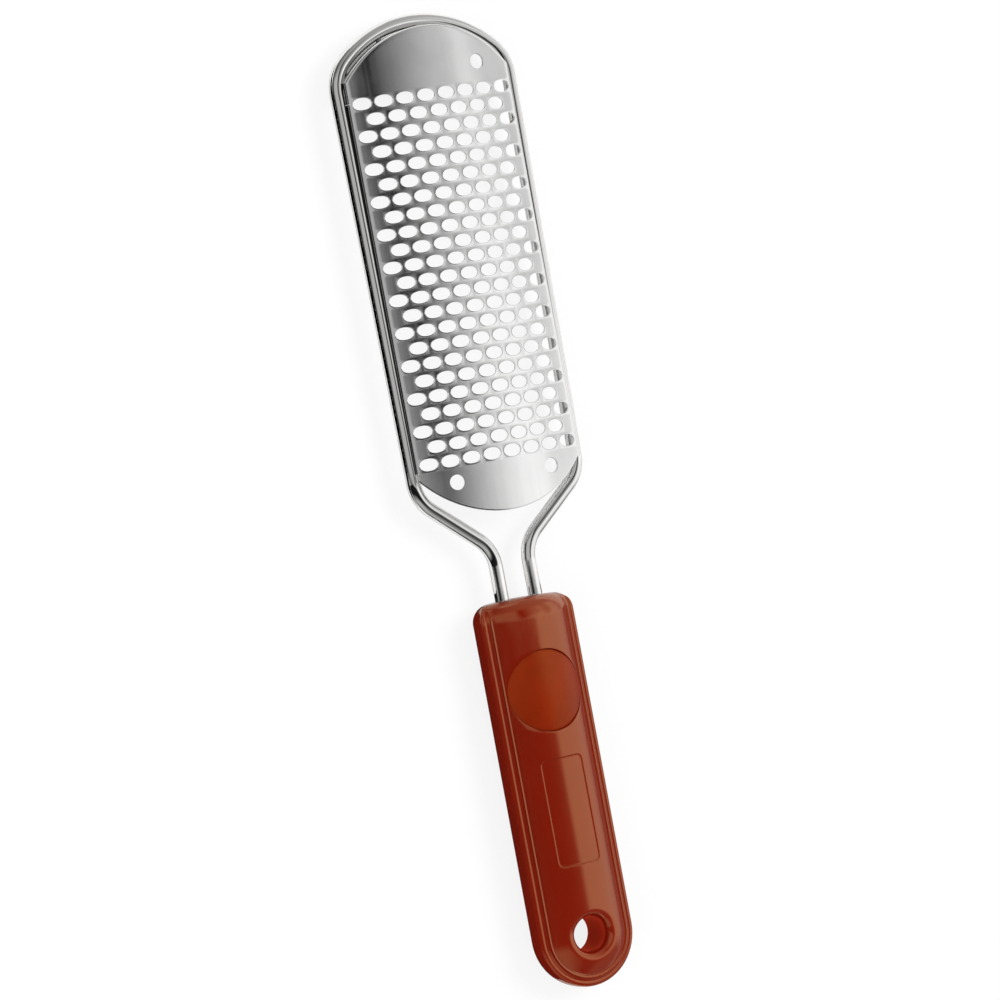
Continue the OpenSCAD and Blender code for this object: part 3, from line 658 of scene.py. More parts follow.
class HandleLayout:
    """Outline and stations of the handle, worked out once from its sizes, in metres.

    The outline in a cut across the handle runs from the middle of the back round to the middle of the
    front. The handle's skin is that outline carried along the straight sides and round the tail, where
    a distance from the middle becomes a distance from the hanging hole's middle.
    """

    tail_steps = 32
    tail_stretch = 13 * MM
    inward = np.linspace(0, 1, 14) ** 1.7

    def __init__(self, h):
        self.h = h
        self.end_y = TAIL_Y + h.body_half
        self.hole = np.array([0, self.end_y])
        self.front_z = h.crest_z - h.crown_r
        self.flat_half = h.body_half - h.back_round
        self.cover_half = h.rim_half - h.cover_gap
        self.deck_half = self.cover_half - h.cover_edge
        self.roll_y = MOUTH_Y - h.roll_r
        self.turn_y = self.end_y + self.tail_stretch
        self.tail_y = np.linspace(self.turn_y, self.end_y, 13)
        flat = np.stack([np.linspace(0, self.flat_half, 9), np.zeros(9)], axis=-1)
        back = arc_points(self.flat_half, h.back_round, h.back_round, -90, 0, 16)
        side_z = np.linspace(h.back_round, h.shoulder_z - h.shoulder_round, 5)[1:-1]
        side = np.stack([np.full(len(side_z), h.body_half), side_z], axis=-1)
        top, low = h.body_half - h.shoulder_round, h.shoulder_z - h.ledge_drop
        shoulder = arc_points(top, h.shoulder_z - h.shoulder_round, h.shoulder_round, 0, 90, 8)
        rim, hair = 0.05 * MM, 0.004 * MM
        ledge = np.array([
            [top - rim, h.shoulder_z - hair], [h.ledge_half + 0.09 * MM, low + hair],
            [h.ledge_half + 0.04 * MM, low], [h.ledge_half - 0.04 * MM, low + 0.03 * MM],
            [h.rim_half + 0.5 * MM, (h.shoulder_z + h.lip_z) / 2], [h.rim_half + rim, h.lip_z],
            [h.rim_half + 0.01 * MM, h.lip_z - 0.01 * MM], [h.rim_half, h.lip_z - rim]
        ])
        self.outer = np.concatenate([flat, back[1:], side, shoulder, ledge])
        self.flat_count = len(flat)
        corner = len(flat) + len(back) + 1
        seat_x = np.linspace(self.flat_half, h.rim_half, corner - len(flat) + 2)
        seat_x = np.concatenate([flat[:-1, 0], seat_x])
        rise = np.linspace(h.seat_z, self.outer[-1, 1], len(self.outer) - corner)[1:]
        self.inner = np.concatenate([
            np.stack([seat_x, np.full(len(seat_x), h.seat_z)], axis=-1),
            np.stack([np.full(len(rise), h.rim_half), rise], axis=-1),
        ])
        crown_x = np.linspace(self.deck_half, 0, 200)
        crown = np.stack([crown_x, self.crown(crown_x)], axis=-1)
        edge = np.array([[self.cover_half - rim, h.cover_edge_z],
                         [self.deck_half + 0.08 * MM, h.cover_edge_z - h.ledge_drop]])
        outline = np.concatenate([self.outer[:-2], edge, crown])
        fine = np.linspace(0, 1, 25)[None, :, None]
        self.dense = (outline[:-1, None] * (1 - fine) + outline[1:, None] * fine).reshape(-1, 2)

    def crown(self, x):
        """Height of the raised front at a distance from the middle: an arc."""
        return self.front_z + np.sqrt(self.h.crown_r**2 - x**2)

    def front(self, x, y):
        """The same anywhere in plan: the arc is turned round the tail."""
        return self.crown(np.where(y < self.end_y, np.hypot(x, y - self.end_y), np.abs(x)))

    def mouth(self, x, z):
        """Where the rolled end lies along the handle: a quarter circle by the distance inside the
        outline, which is stretched by a parabola across, so that the mouth's middle stands out."""
        across, up = np.abs(x)[..., None] - self.dense[:, 0], z[..., None] - self.dense[:, 1]
        gap = np.maximum(np.hypot(across, up).min(axis=-1) - 0.002 * MM, 0)
        r = self.h.roll_r
        stretch = 1 + self.h.mouth_bulge / r * (1 - (x / self.h.body_half) ** 2)
        return MOUTH_Y - r + np.sqrt(r**2 - np.maximum(r - gap, 0) ** 2) * stretch

    def tail(self):
        """Angles round the tail from the right side to the left one, both left out."""
        return np.linspace(0, -np.pi, self.tail_steps + 1)[1:-1]

    def carried(self, profile, straight_y, first_y):
        """A profile's points (distance, height) at each station: down the right side, round the tail,
        up the left side. The first and last station lie at a place of their own for each point of the
        profile."""
        d, z = profile[:, 0], profile[:, 1]
        turned = self.tail()
        along = np.broadcast_to(straight_y[:, None], (len(straight_y), len(d)))
        along = np.concatenate([first_y[None], along])
        across = np.broadcast_to(d, along.shape)
        round_x = d * np.cos(turned)[:, None]
        round_y = self.end_y + d * np.sin(turned)[:, None]
        x = np.concatenate([across, round_x, -across[::-1]])
        y = np.concatenate([along, round_y, along[::-1]])
        return np.stack([x, y, np.broadcast_to(z, x.shape)], axis=-1)

    def tail_border(self, half, columns):
        """A loop round the hanging hole: up the right side, across the columns, down the left side and
        round the tail, each point once."""
        right = np.stack([np.full(len(self.tail_y), half), self.tail_y[::-1]], axis=-1)
        across = np.stack([columns[::-1][1:-1], np.full(len(columns) - 2, self.turn_y)], axis=-1)
        turned = self.tail()[::-1]
        tail = np.stack([half * np.cos(turned), self.end_y + half * np.sin(turned)], axis=-1)
        return np.concatenate([right, across, right[::-1] * [-1, 1], tail])

    def from_hole(self, loop):
        """Directions from the hanging hole's middle to the points of a loop."""
        return (loop - self.hole) / np.linalg.norm(loop - self.hole, axis=-1, keepdims=True)


def arc_points(x, z, r, first, last, count):
    """Points of an arc about (x, z), its angles in degrees from the outward side."""
    turned = np.radians(np.linspace(first, last, count + 1))
    return np.stack([x + r * np.cos(turned), z + r * np.sin(turned)], axis=-1)


def round_the(centre, loop, half, r, margin):
    """The nearest points to a loop on a rounded oblong about a centre, grown by a margin: the corner's
    middle that is nearest, plus the radius towards the loop's point."""
    off = loop - centre
    core = np.clip(off, -(np.array(half) - r), np.array(half) - r)
    aim = off - core
    return centre + core + aim / np.linalg.norm(aim, axis=-1, keepdims=True) * (r + margin)


def circle_at(centre, loop, r, margin=0):
    """The same on a circle, which is an oblong without straight sides."""
    return round_the(centre, loop, (r, r), r, margin)


def window(columns, rows, middle, reach):
    """First and last row and column of a grid that lie within reach of a middle."""
    near = [np.flatnonzero(np.abs(places - at) <= by)[[0, -1]] for places, at, by in
            zip((rows, columns), middle[::-1], reach[::-1])]
    return (*near[0], *near[1])


def flat_deck(skin, lay, z, columns, rows, hole_r, first_y=None, screws=()):
    """A flat face across the handle at height z, from the mouth to the tail, with the hanging hole left
    out and rings down to the seat of each screw's head. Its outer border follows the columns' ends."""
    h = lay.h
    x, y = np.meshgrid(columns, rows)
    if first_y is not None:
        x, y = np.vstack([columns, x]), np.vstack([first_y, y])
    keep = np.ones((x.shape[0] - 1, x.shape[1] - 1), bool)
    for screw_y in screws:
        centre, reach = np.array([0, screw_y]), h.screw_hole_r + 1.2 * MM
        i0, i1, j0, j1 = window(columns, y[:, 0], centre, (reach, reach))
        keep[i0:i1, j0:j1] = False
        loop = window_loop(i0, i1, j0, j1)
        border = np.stack([x[loop], y[loop]], axis=-1)
        rings = [(0.3 * MM, 0.0), (0.12 * MM, 0.03 * MM), (0.0, 0.15 * MM), (0.0, h.head_high_z)]
        flat = [border] + [circle_at(centre, border, h.screw_hole_r, margin) for margin, _ in rings]
        flat.append(np.broadcast_to(centre, border.shape))
        up = np.array([0] + [rise for _, rise in rings] + [h.head_high_z])[:, None]
        skin.grid(np.dstack([np.stack(flat), z + np.broadcast_to(up, (len(up), len(border)))]), closed=True)
    skin.grid(np.dstack([x, y, np.full_like(x, z)]), keep=keep)
    border = lay.tail_border(columns[-1], columns)
    ring = circle_at(lay.hole, border, hole_r)
    share_in = np.linspace(0, 1, 5)[:, None, None]
    flat = border * (1 - share_in) + ring * share_in
    skin.grid(np.dstack([flat, np.full(flat.shape[:2], z)]), closed=True)
    return ring


def end_face(skin, lay, outer, inner):
    """The rolled end at the mouth: rays from an outer curve to an inner one, closer together near the
    outer one, each point at the depth that the rolled edge has there."""
    s = lay.inward[:, None, None]
    cut = outer[None] * (1 - s) + inner[None] * s
    x, z = cut[..., 0], cut[..., 1]
    skin.grid(np.stack([x, lay.mouth(x, z), z], axis=-1))


def both_sides(half):
    """A curve from the middle out, joined to its mirror image."""
    return np.concatenate([half[:0:-1] * [-1, 1], half])


def handle_back():
    """The back of the handle: its outline from the flat back over the round side and the shoulder down
    to the seat, carried round the handle, closed by the flat back, the seat and the rolled end at the
    mouth. The hanging hole is rings about its middle, from an arc at its edge to a straight wall."""
    h = sizes("foot_file_handle")
    lay = HandleLayout(h)
    skin = Skin()
    rows = np.linspace(lay.roll_y, lay.turn_y, 86)
    walls = np.concatenate([lay.outer[lay.flat_count - 1 :], lay.inner[lay.flat_count - 1 :][::-1][1:]])
    along = np.concatenate([rows, lay.tail_y[1:]])
    skin.grid(lay.carried(walls, along, lay.mouth(walls[:, 0], walls[:, 1])))
    columns = np.linspace(-lay.flat_half, lay.flat_half, 17)
    edge_r = h.hang_r + h.hang_round
    loop = flat_deck(skin, lay, 0.0, columns, rows, edge_r, screws=(h.screw_one, h.screw_two))
    roll = arc_points(edge_r, h.hang_round, h.hang_round, -90, -180, 6)
    r, z = np.array(list(roll) + [(h.hang_r, h.seat_z)]).T
    flat = lay.hole + r[:, None, None] * lay.from_hole(loop)
    skin.grid(np.dstack([flat, np.broadcast_to(z[:, None], flat.shape[:2])]), closed=True)
    first = lay.mouth(columns, np.full(len(columns), h.seat_z))
    flat_deck(skin, lay, h.seat_z, columns, rows, h.hang_r, first)
    end_face(skin, lay, both_sides(lay.outer), both_sides(lay.inner))
    return skin.mesh("handle_back", 50)


def pad_recess(skin, lay, border):
    """The round recess for the thumb rest: rings from a border on the front to the recess's rounded
    edge, down to its floor and in to the middle."""
    h = lay.h
    centre = np.array([0, h.pad_y])
    rings = [(0.12 * MM, 0.0), (0.04 * MM, -0.02 * MM), (0.0, -0.08 * MM)]
    edge = [circle_at(centre, border, h.pad_r, margin) for margin, _ in rings]
    fill = [border * (1 - t) + edge[0] * t for t in (0, 0.25, 0.5, 0.75)]
    flat = np.stack(fill + edge)
    sink = np.array([0] * len(fill) + [rise for _, rise in rings])[:, None]
    z = lay.front(flat[..., 0], flat[..., 1]) + sink
    flat = np.concatenate([flat, flat[-1:], np.broadcast_to(centre, border.shape)[None]])
    z = np.concatenate([z, np.full((2, len(border)), h.pad_floor_z)])
    skin.grid(np.dstack([flat, z]), closed=True)


def label_panel(skin, lay, border, half, core):
    """The shallow panel's edge: rings on a rounded oblong, from a border on the front down a soft step,
    and in to the oblong's core."""
    h = lay.h
    centre, deep = np.array([0, h.label_y]), h.label_depth
    rings = [(0.3 * MM, 0.0), (0.1 * MM, -0.01 * MM), (0.0, -0.14 * deep), (-0.24 * MM, -0.86 * deep),
             (-0.34 * MM, -deep), (-0.6 * MM, -deep)]
    flat = [border] + [round_the(centre, border, half, h.label_round, margin) for margin, _ in rings]
    flat = np.stack(flat + [centre + np.clip(border - centre, -core, core)])
    sink = np.array([0] + [rise for _, rise in rings] + [-deep])[:, None]
    skin.grid(np.dstack([flat, lay.front(flat[..., 0], flat[..., 1]) + sink]), closed=True)


def hang_flare(skin, lay, columns):
    """The hanging hole's front: rings about its middle. They come in over the front, follow an arc that
    leaves the front at its own slope and ends upright, and go down a wall that widens by a power to the
    hole in the back."""
    h = lay.h
    border = lay.tail_border(lay.deck_half, columns)
    aim = lay.from_hole(border)
    reach, step = np.full(len(border), h.flare_r + h.flare_round), 0.05 * MM

    def high(r):
        place = lay.hole + r[:, None] * aim
        return lay.front(place[:, 0], place[:, 1])

    for _ in range(8):
        slope = np.arctan((high(reach - step) - high(reach + step)) / (2 * step))
        reach = h.flare_r + h.flare_round * (1 + np.sin(slope))
    outer = lay.hole + (reach + 0.3 * MM)[:, None] * aim
    t = np.linspace(0, 1, 9)[:, None, None]
    flat = border * (1 - t) + outer * t
    turned = slope * (1 - t[..., 0]) - math.pi / 2 * t[..., 0]
    r = h.flare_r + h.flare_round * (1 + np.sin(turned))
    roll_z = high(reach) + h.flare_round * (np.cos(turned) - np.cos(slope))
    roll = np.dstack([lay.hole + r[..., None] * aim, roll_z])
    down = np.linspace(0, 1, 7)[1:, None]
    r = h.hang_r + (h.flare_r - h.hang_r) * (1 - down) ** 1.5
    wall = np.dstack([lay.hole + r[..., None] * aim, roll_z[-1] * (1 - down) + h.seat_z * down])
    over = np.dstack([flat, lay.front(flat[..., 0], flat[..., 1])])
    skin.grid(np.concatenate([over, roll, wall]), closed=True)


def handle_front():
    """The raised front: an arc across the handle, turned round the tail, with a round recess for the
    thumb rest, a shallow panel and a flared hanging hole. A narrow ledge and a wall are carried round
    its edge, and a flat face and the rolled end at the mouth close it."""
    h = sizes("foot_file_handle")
    lay = HandleLayout(h)
    skin = Skin()
    half, deck_half = lay.cover_half, lay.deck_half
    panel = np.array([h.label_w, h.label_len]) / 2
    core, zone = panel - h.label_round, panel + 1.3 * MM
    side = np.concatenate([np.linspace(0, core[0], 6), np.linspace(core[0], zone[0], 4)[1:],
                           np.linspace(zone[0], deck_half, 5)[1:]])
    columns = np.concatenate([-side[:0:-1], side])
    pad_reach = h.pad_r + 1.6 * MM
    stops = [(lay.roll_y, 0), (h.pad_y + pad_reach, 8), (h.pad_y - pad_reach, 28), (h.label_y + zone[1], 4),
             (h.label_y + core[1], 3), (h.label_y - core[1], 26), (h.label_y - zone[1], 3), (lay.turn_y, 4)]
    rows = [np.linspace(start, stop, count + 1)[1:] for (start, _), (stop, count) in zip(stops, stops[1:])]
    rows = np.concatenate([[lay.roll_y], *rows])
    marks = np.cumsum([count for _, count in stops])
    x, y = np.meshgrid(columns, rows)
    keep = np.ones((x.shape[0] - 1, x.shape[1] - 1), bool)
    last = len(columns) - 1
    keep[marks[1] : marks[2]] = False
    loop = window_loop(marks[1], marks[2], 0, last)
    pad_recess(skin, lay, np.stack([x[loop], y[loop]], axis=-1))
    near = 1e-6
    j0, j1 = np.flatnonzero(np.abs(columns) <= zone[0] + near)[[0, -1]]
    keep[marks[3] : marks[6], j0:j1] = False
    loop = window_loop(marks[3], marks[6], j0, j1)
    label_panel(skin, lay, np.stack([x[loop], y[loop]], axis=-1), panel, core)
    k0, k1 = np.flatnonzero(np.abs(columns) <= core[0] + near)[[0, -1]]
    inside = (slice(marks[4], marks[5] + 1), slice(k0, k1 + 1))
    skin.grid(np.dstack([x[inside], y[inside], lay.front(x[inside], y[inside]) - h.label_depth]))
    skin.grid(np.dstack([x, y, lay.front(x, y)]), keep=keep)
    hang_flare(skin, lay, columns)

    high_z, low_z = h.cover_edge_z, h.cover_edge_z - h.ledge_drop
    curve = np.array([
        [deck_half, lay.crown(deck_half)], [deck_half + 0.06 * MM, low_z],
        [deck_half + 0.1 * MM, low_z + 0.005 * MM], [half - 0.08 * MM, high_z - 0.005 * MM],
        [half - 0.04 * MM, high_z], [half - 0.01 * MM, high_z - 0.01 * MM], [half, high_z - 0.05 * MM]
    ])
    steps = lay.inward[1:, None]
    foot = curve[-1] * (1 - steps) + np.array([half, h.seat_z]) * steps
    seat = np.stack([curve[-2::-1, 0], np.full(len(curve) - 1, h.seat_z)], axis=-1)
    wall = np.concatenate([curve, foot, seat])
    along = np.concatenate([rows, lay.tail_y[1:]])
    skin.grid(lay.carried(wall, along, lay.mouth(wall[:, 0], wall[:, 1])))
    outer = both_sides(np.concatenate([np.stack([side, lay.crown(side)], axis=-1), curve[1:]]))
    inner = np.stack([outer[:, 0], np.full(len(outer), h.seat_z)], axis=-1)
    end_face(skin, lay, outer, inner)
    first = lay.mouth(columns, np.full(len(columns), h.seat_z))
    flat_deck(skin, lay, h.seat_z, columns, rows, h.hang_r, first)
    return skin.mesh("handle_front", 50)


def turned_grid(rings, count):
    """Places of rings about a middle: the radius times the cosine and the sine of the angle."""
    turned = np.linspace(0, 2 * np.pi, count + 1)[:-1]
    return rings[:, None] * np.cos(turned), rings[:, None] * np.sin(turned)


def thumb_rest():
    """The round thumb rest: a wide arc across the handle less a wider one along it, cut by a circle,
    with a rounded edge and a flat underside. Its points lie on rings about its middle."""
    h = sizes("foot_file_handle")
    r, edge = h.pad_r - h.pad_gap, 0.2 * MM
    across = np.concatenate([[0], np.linspace(0.04, 1, 16) * (r - edge)])
    bend = np.radians(np.linspace(0, 90, 7)[1:])
    down = np.concatenate([np.zeros(len(across)), edge * (1 - np.cos(bend))])
    x, y = turned_grid(np.concatenate([across, r - edge + edge * np.sin(bend), [r, 0]]), 96)
    z = h.pad_crest_z - h.pad_crown_r + np.sqrt(h.pad_crown_r**2 - x**2)
    z -= h.pad_long_r - np.sqrt(h.pad_long_r**2 - y**2)
    z[: len(down)] -= down[:, None]
    z[len(down) :] = h.pad_floor_z
    skin = Skin()
    skin.grid(np.stack([x, y + h.pad_y, z], axis=-1), closed=True)
    return skin.mesh("thumb_rest", 50)


def back_screws():
    """Two screws seen from the back: rings about each screw's axis, with a cross recess pressed into
    the head's face as a smooth step of two crossed slots, and a plain shank up into the handle."""
    h = sizes("foot_file_handle")
    r, edge, deep = h.screw_head_r, 0.25 * MM, 0.8 * MM
    face, bend = np.linspace(0, r - edge, 22), np.radians([30, 60, 90])
    seat_z, end_z = h.head_high_z, h.shank_z
    shank = np.array([(r, seat_z), (h.shank_r, seat_z), (h.shank_r, end_z), (0, end_z)])
    rings = np.concatenate([face, r - edge + edge * np.sin(bend), shank[:, 0]])
    x, y = turned_grid(rings, 72)
    head_z = h.head_low_z + np.concatenate([np.zeros(len(face)), edge * (1 - np.cos(bend))])

    def slot(a, b):
        wide = np.clip((0.48 * MM - np.abs(a)) / (0.16 * MM), 0, 1)
        long = np.clip((1.65 * MM - np.abs(b)) / (0.3 * MM), 0, 1)
        return wide * long

    recess = np.maximum(slot(x, y), slot(y, x)) * deep
    recess[len(face) :] = 0
    z = np.concatenate([head_z, shank[:, 1]])[:, None] + recess
    skin = Skin()
    for place in (h.screw_one, h.screw_two):
        skin.grid(np.stack([x, y + place, z], axis=-1), closed=True)
    return skin.mesh("back_screws", 40)


class Socket:
    """One output of a shader node, with sums and products that add Math nodes."""

    def __init__(self, look, out):
        self.look, self.out = look, out

    def _math(self, operation, first, second):
        return self.look.node("ShaderNodeMath", {"operation": operation}, {0: first, 1: second})

    def __add__(self, other):
        return self._math("ADD", self, other)

    def __sub__(self, other):
        return self._math("SUBTRACT", self, other)

    def __rsub__(self, other):
        return self._math("SUBTRACT", other, self)

    def __mul__(self, other):
        return self._math("MULTIPLY", self, other)

    __radd__ = __add__
    __rmul__ = __mul__


class Look:
    """One node material. Numbers go straight on a socket and sockets are linked to it."""

    def __init__(self, name):
        self.material = bpy.data.materials.new("finish_" + name)
        self.material.use_nodes = True
        self.tree = self.material.node_tree
        self.tree.nodes.clear()

    def node(self, kind, settings=None, inputs=None, output=0):
        """Adds a node: its settings first, then the values or links of its sockets."""
        made = self.tree.nodes.new(kind)
        for key, value in (settings or {}).items():
            if key == "stops":
                fill_ramp(made.color_ramp, value)
            else:
                setattr(made, key, value)
        for key, value in (inputs or {}).items():
            self.feed(made.inputs[key], value)
        return Socket(self, made.outputs[output])

    def feed(self, socket, value):
        """Links a socket, or sets it."""
        if isinstance(value, Socket):
            self.tree.links.new(value.out, socket)
        elif socket.type == "RGBA" and len(value) == 3:
            socket.default_value = (*value, 1.0)
        else:
            socket.default_value = value

    def place(self, scale=(1, 1, 1), source="Object"):
        """Object coordinates, or the UV map's, stretched per axis."""
        where = self.node("ShaderNodeTexCoord", output=source)
        return self.node("ShaderNodeMapping", {"vector_type": "POINT"}, {"Vector": where, "Scale": scale})

    def noise(self, where, scale, detail=3.0, rough=0.5):
        """Noise from 0 to 1 with its middle near a half."""
        values = {"Vector": where, "Scale": scale, "Detail": detail, "Roughness": rough}
        return self.node("ShaderNodeTexNoise", {"noise_dimensions": "3D"}, values)

    def span(self, value, low, high, to_low=0.0, to_high=1.0):
        """Carries a value's range over to another one, held at its ends."""
        values = {"Value": value, "From Min": low, "From Max": high, "To Min": to_low, "To Max": to_high}
        return self.node("ShaderNodeMapRange", {"clamp": True}, values)

    def blend(self, share_of, first, second):
        """Mixes two colours."""
        values = {"Factor": share_of, 6: first, 7: second}
        return self.node("ShaderNodeMix", {"data_type": "RGBA"}, values, output=2)

    def bump(self, height, distance):
        """A bump whose height of one stands for a distance in metres."""
        return self.node("ShaderNodeBump", None, {"Height": height, "Distance": distance, "Strength": 1.0})

    def drift(self, share_of, base, first, second):
        """Mixes two tones of a base colour."""
        return self.blend(share_of, toned(base, first), toned(base, second))

    def surface(self, **values):
        """The Principled surface and the output."""
        named = {key.replace("_", " "): value for key, value in values.items()}
        self.finish(self.node("ShaderNodeBsdfPrincipled", None, named))

    def finish(self, shader, output="ShaderNodeOutputMaterial"):
        """Feeds the output."""
        self.tree.links.new(shader.out, self.tree.nodes.new(output).inputs["Surface"])


def fill_ramp(ramp, stops):
    """Sets a colour ramp's stops: place and grey or colour."""
    while len(ramp.elements) > 1:
        ramp.elements.remove(ramp.elements[-1])
    for number, (place, value) in enumerate(stops):
        stop = ramp.elements[0] if number == 0 else ramp.elements.new(place)
        stop.position = place
        stop.color = (value, value, value, 1.0) if isinstance(value, (int, float)) else (*value, 1.0)


def toned(base, factor):
    """A colour made lighter or darker as a whole."""
    return tuple(min(1.0, part * factor) for part in base)


def wire_steel(look, base):
    """Polished wire: faint drawing lines along it, and hairline scratches and haze in its gloss."""
    lines = look.noise(look.place((40, 1.2, 1), "UV"), 9.0, 4.0, 0.6)
    haze = look.noise(look.place(), 160.0)
    rough = look.span(haze, 0.35, 0.75, 0.05, 0.09) + look.span(lines, 0.55, 0.8, 0.0, 0.04)
    look.surface(Base_Color=look.drift(look.span(lines, 0.3, 0.7), base, 0.94, 1.04), Metallic=1.0,
                 Roughness=rough, Normal=look.bump(lines, 0.004 * MM))


def plate_steel(look, base):
    """Rolled sheet: soft grain along it, clouding from the rolling, and painted shade on the side skirts:
    their colour darkened and their gloss dulled in the crevice beside the wire."""
    lay = PlateLayout(sizes("foot_file_plate"), sizes("foot_file_wire"))
    where = look.place()
    grain = look.noise(look.place((900, 60, 900)), 1.0, 4.0, 0.55)
    cloud = look.noise(where, 90.0)
    x, y, z = (look.node("ShaderNodeSeparateXYZ", None, {0: where}, output=axis) for axis in range(3))
    wall_x = lay.half - lay.p.plate_t
    beside = look.span(x * x, (wall_x - 0.2 * MM) ** 2, (wall_x - 0.05 * MM) ** 2)
    # Painted shade: the side skirts go nearly black below the fold, in the crevice beside the wire.
    shade_from, shade_full = 9.35 * MM, 8.95 * MM
    below = look.span(z, shade_from, shade_full)
    painted_crevice_shade = below * beside * look.span(y, lay.corner_y, lay.corner_y - 0.2 * MM)
    steel = look.drift(look.span(cloud, 0.3, 0.7), base, 0.95, 1.04)
    rough = look.span(cloud, 0.3, 0.7, 0.12, 0.16) + look.span(grain, 0.35, 0.7, 0.0, 0.04) + painted_crevice_shade * 0.3
    # Painted shade: in the crevice the colour drops to a tenth of the steel's, and the gloss is roughened.
    look.surface(Base_Color=look.blend(painted_crevice_shade, steel, toned(base, 0.1)), Metallic=1.0, Roughness=rough,
                 Normal=look.bump(grain, 0.003 * MM))


def weld_steel(look, base):
    """Spot welds: dull, with a straw and blue heat tint round the middle."""
    patch = look.noise(look.place(), 1400.0)
    stops = [(0.3, (0.16, 0.17, 0.24)), (0.5, tuple(base)), (0.7, (0.5, 0.38, 0.22))]
    tint = look.node("ShaderNodeValToRGB", {"stops": stops}, {"Fac": patch})
    look.surface(Base_Color=tint, Metallic=1.0, Roughness=look.span(patch, 0.3, 0.7, 0.4, 0.6),
                 Normal=look.bump(patch, 0.03 * MM))


def plated_steel(look, base):
    """Zinc plating on the cross bar and the screws: fine spangle and a little haze."""
    spangle = look.noise(look.place(), 900.0, 4.0, 0.6)
    look.surface(Base_Color=look.drift(look.span(spangle, 0.3, 0.7), base, 0.88, 1.06), Metallic=1.0,
                 Roughness=look.span(spangle, 0.3, 0.7, 0.28, 0.4), Normal=look.bump(spangle, 0.006 * MM))


def handle_plastic(look, base):
    """Glossy moulded plastic: a slow drift of its red, faint flow marks, and fine wear in its gloss."""
    where = look.place()
    cloud = look.span(look.noise(where, 28.0, 2.0), 0.3, 0.7)
    wear = look.noise(look.place((1, 0.25, 1)), 1300.0, 3.0, 0.6)
    ripple = look.noise(where, 95.0, 2.0)
    look.surface(Base_Color=look.drift(cloud, base, 0.92, 1.08), Metallic=0.0,
                 Roughness=look.span(wear, 0.35, 0.75, 0.09, 0.15), IOR=1.75, Specular_IOR_Level=0.9,
                 Specular_Tint=(0.95, 0.64, 0.30), Normal=look.bump(ripple, 0.006 * MM))


def pad_plastic(look, base):
    """Matt plastic: the fine even grain of a spark-eroded mould."""
    where = look.place()
    grain = look.noise(where, 2600.0, 3.0, 0.6)
    cloud = look.span(look.noise(where, 120.0, 2.0), 0.3, 0.7)
    look.surface(Base_Color=look.drift(cloud, base, 0.92, 1.08), Metallic=0.0,
                 Roughness=look.span(grain, 0.3, 0.7, 0.27, 0.35), Specular_IOR_Level=0.5,
                 Specular_Tint=(1.0, 0.72, 0.2), Normal=look.bump(grain, 0.03 * MM))


FINISHES = {
    "wire_steel": wire_steel,
    "plate_steel": plate_steel,
    "weld_steel": weld_steel,
    "anchor_steel": plated_steel,
    "screw_steel": plated_steel,
    "handle_plastic": handle_plastic,
    "pad_plastic": pad_plastic,
}


def finish(slot):
    """The finish of a slot, made once."""
    made = bpy.data.materials.get("finish_" + slot)
    if made is None:
        look = Look(slot)
        FINISHES[slot](look, getattr(sizes("foot_file_finish"), slot))
        made = look.material
    return made


def dress(node, slot):
    """Gives a solid that stays the finish of its slot."""
    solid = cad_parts[node]
    material = finish(slot)
    for place in solid.material_slots:
        place.material = material
    if not solid.material_slots:
        raise RuntimeError(f"{node} has no material slot")


# What the polished metal and the gloss reflect: zones along the object. Each has the place where it
# begins and the one where it is full, and its glow at angles in degrees from straight up towards the
# right.
LEFT_RISE = [(-84, 0.0), (-75, 0.03), (-62, 0.2), (-51, 0.5), (-9, 0.52)]
CARD_ZONES = (
    (0, 0, [(-85, 0.3), (-60, 0.5), (-30, 0.45), (-8, 0.2), (8, 0.05), (30, 0.05), (50, 0.22), (90, 0.2)]),
    (-0.85, -0.45, [
        (-5, 0.01), (8, 0.04), (18, 0.11), (22, 0.22), (27, 0.8), (30, 0.98), (78, 0.98), (85, 0.8),
        (94, 0.45)
    ]),
    (-0.072, -0.062, [
        (-88, 0.6), (-75, 0.41), (-62, 0.1), (-51, 0.0), (-39, 0.0), (-28, 0.15), (-16, 0.48), (7, 0.66),
        (19, 0.87), (32, 1.2), (61, 1.25), (90, 0.9)
    ]),
    (-0.034, -0.010, LEFT_RISE + [
        (-2, 0.24), (2, 0.08), (5, 0.0), (8, 0.1), (12, 0.3), (22, 0.72), (28, 0.95), (35, 1.15),
        (42, 1.22), (46, 0.88), (57, 0.82), (62, 1.15), (73, 1.15), (82, 0.7)
    ]),
    (0.016, 0.251, LEFT_RISE + [
        (-3, 0.12), (0, 0.0), (5, 0.0), (8, 0.15), (12, 0.2), (20, 0.39), (28, 0.56), (36, 0.67),
        (38, 0.87), (43, 0.88), (45, 0.68), (57, 0.6), (62, 1.05), (73, 1.05), (82, 0.7)
    ]),
    (0.75, 1.25, [(-60, 0.1), (-20, 0.3), (20, 0.4), (60, 0.5)]),
)
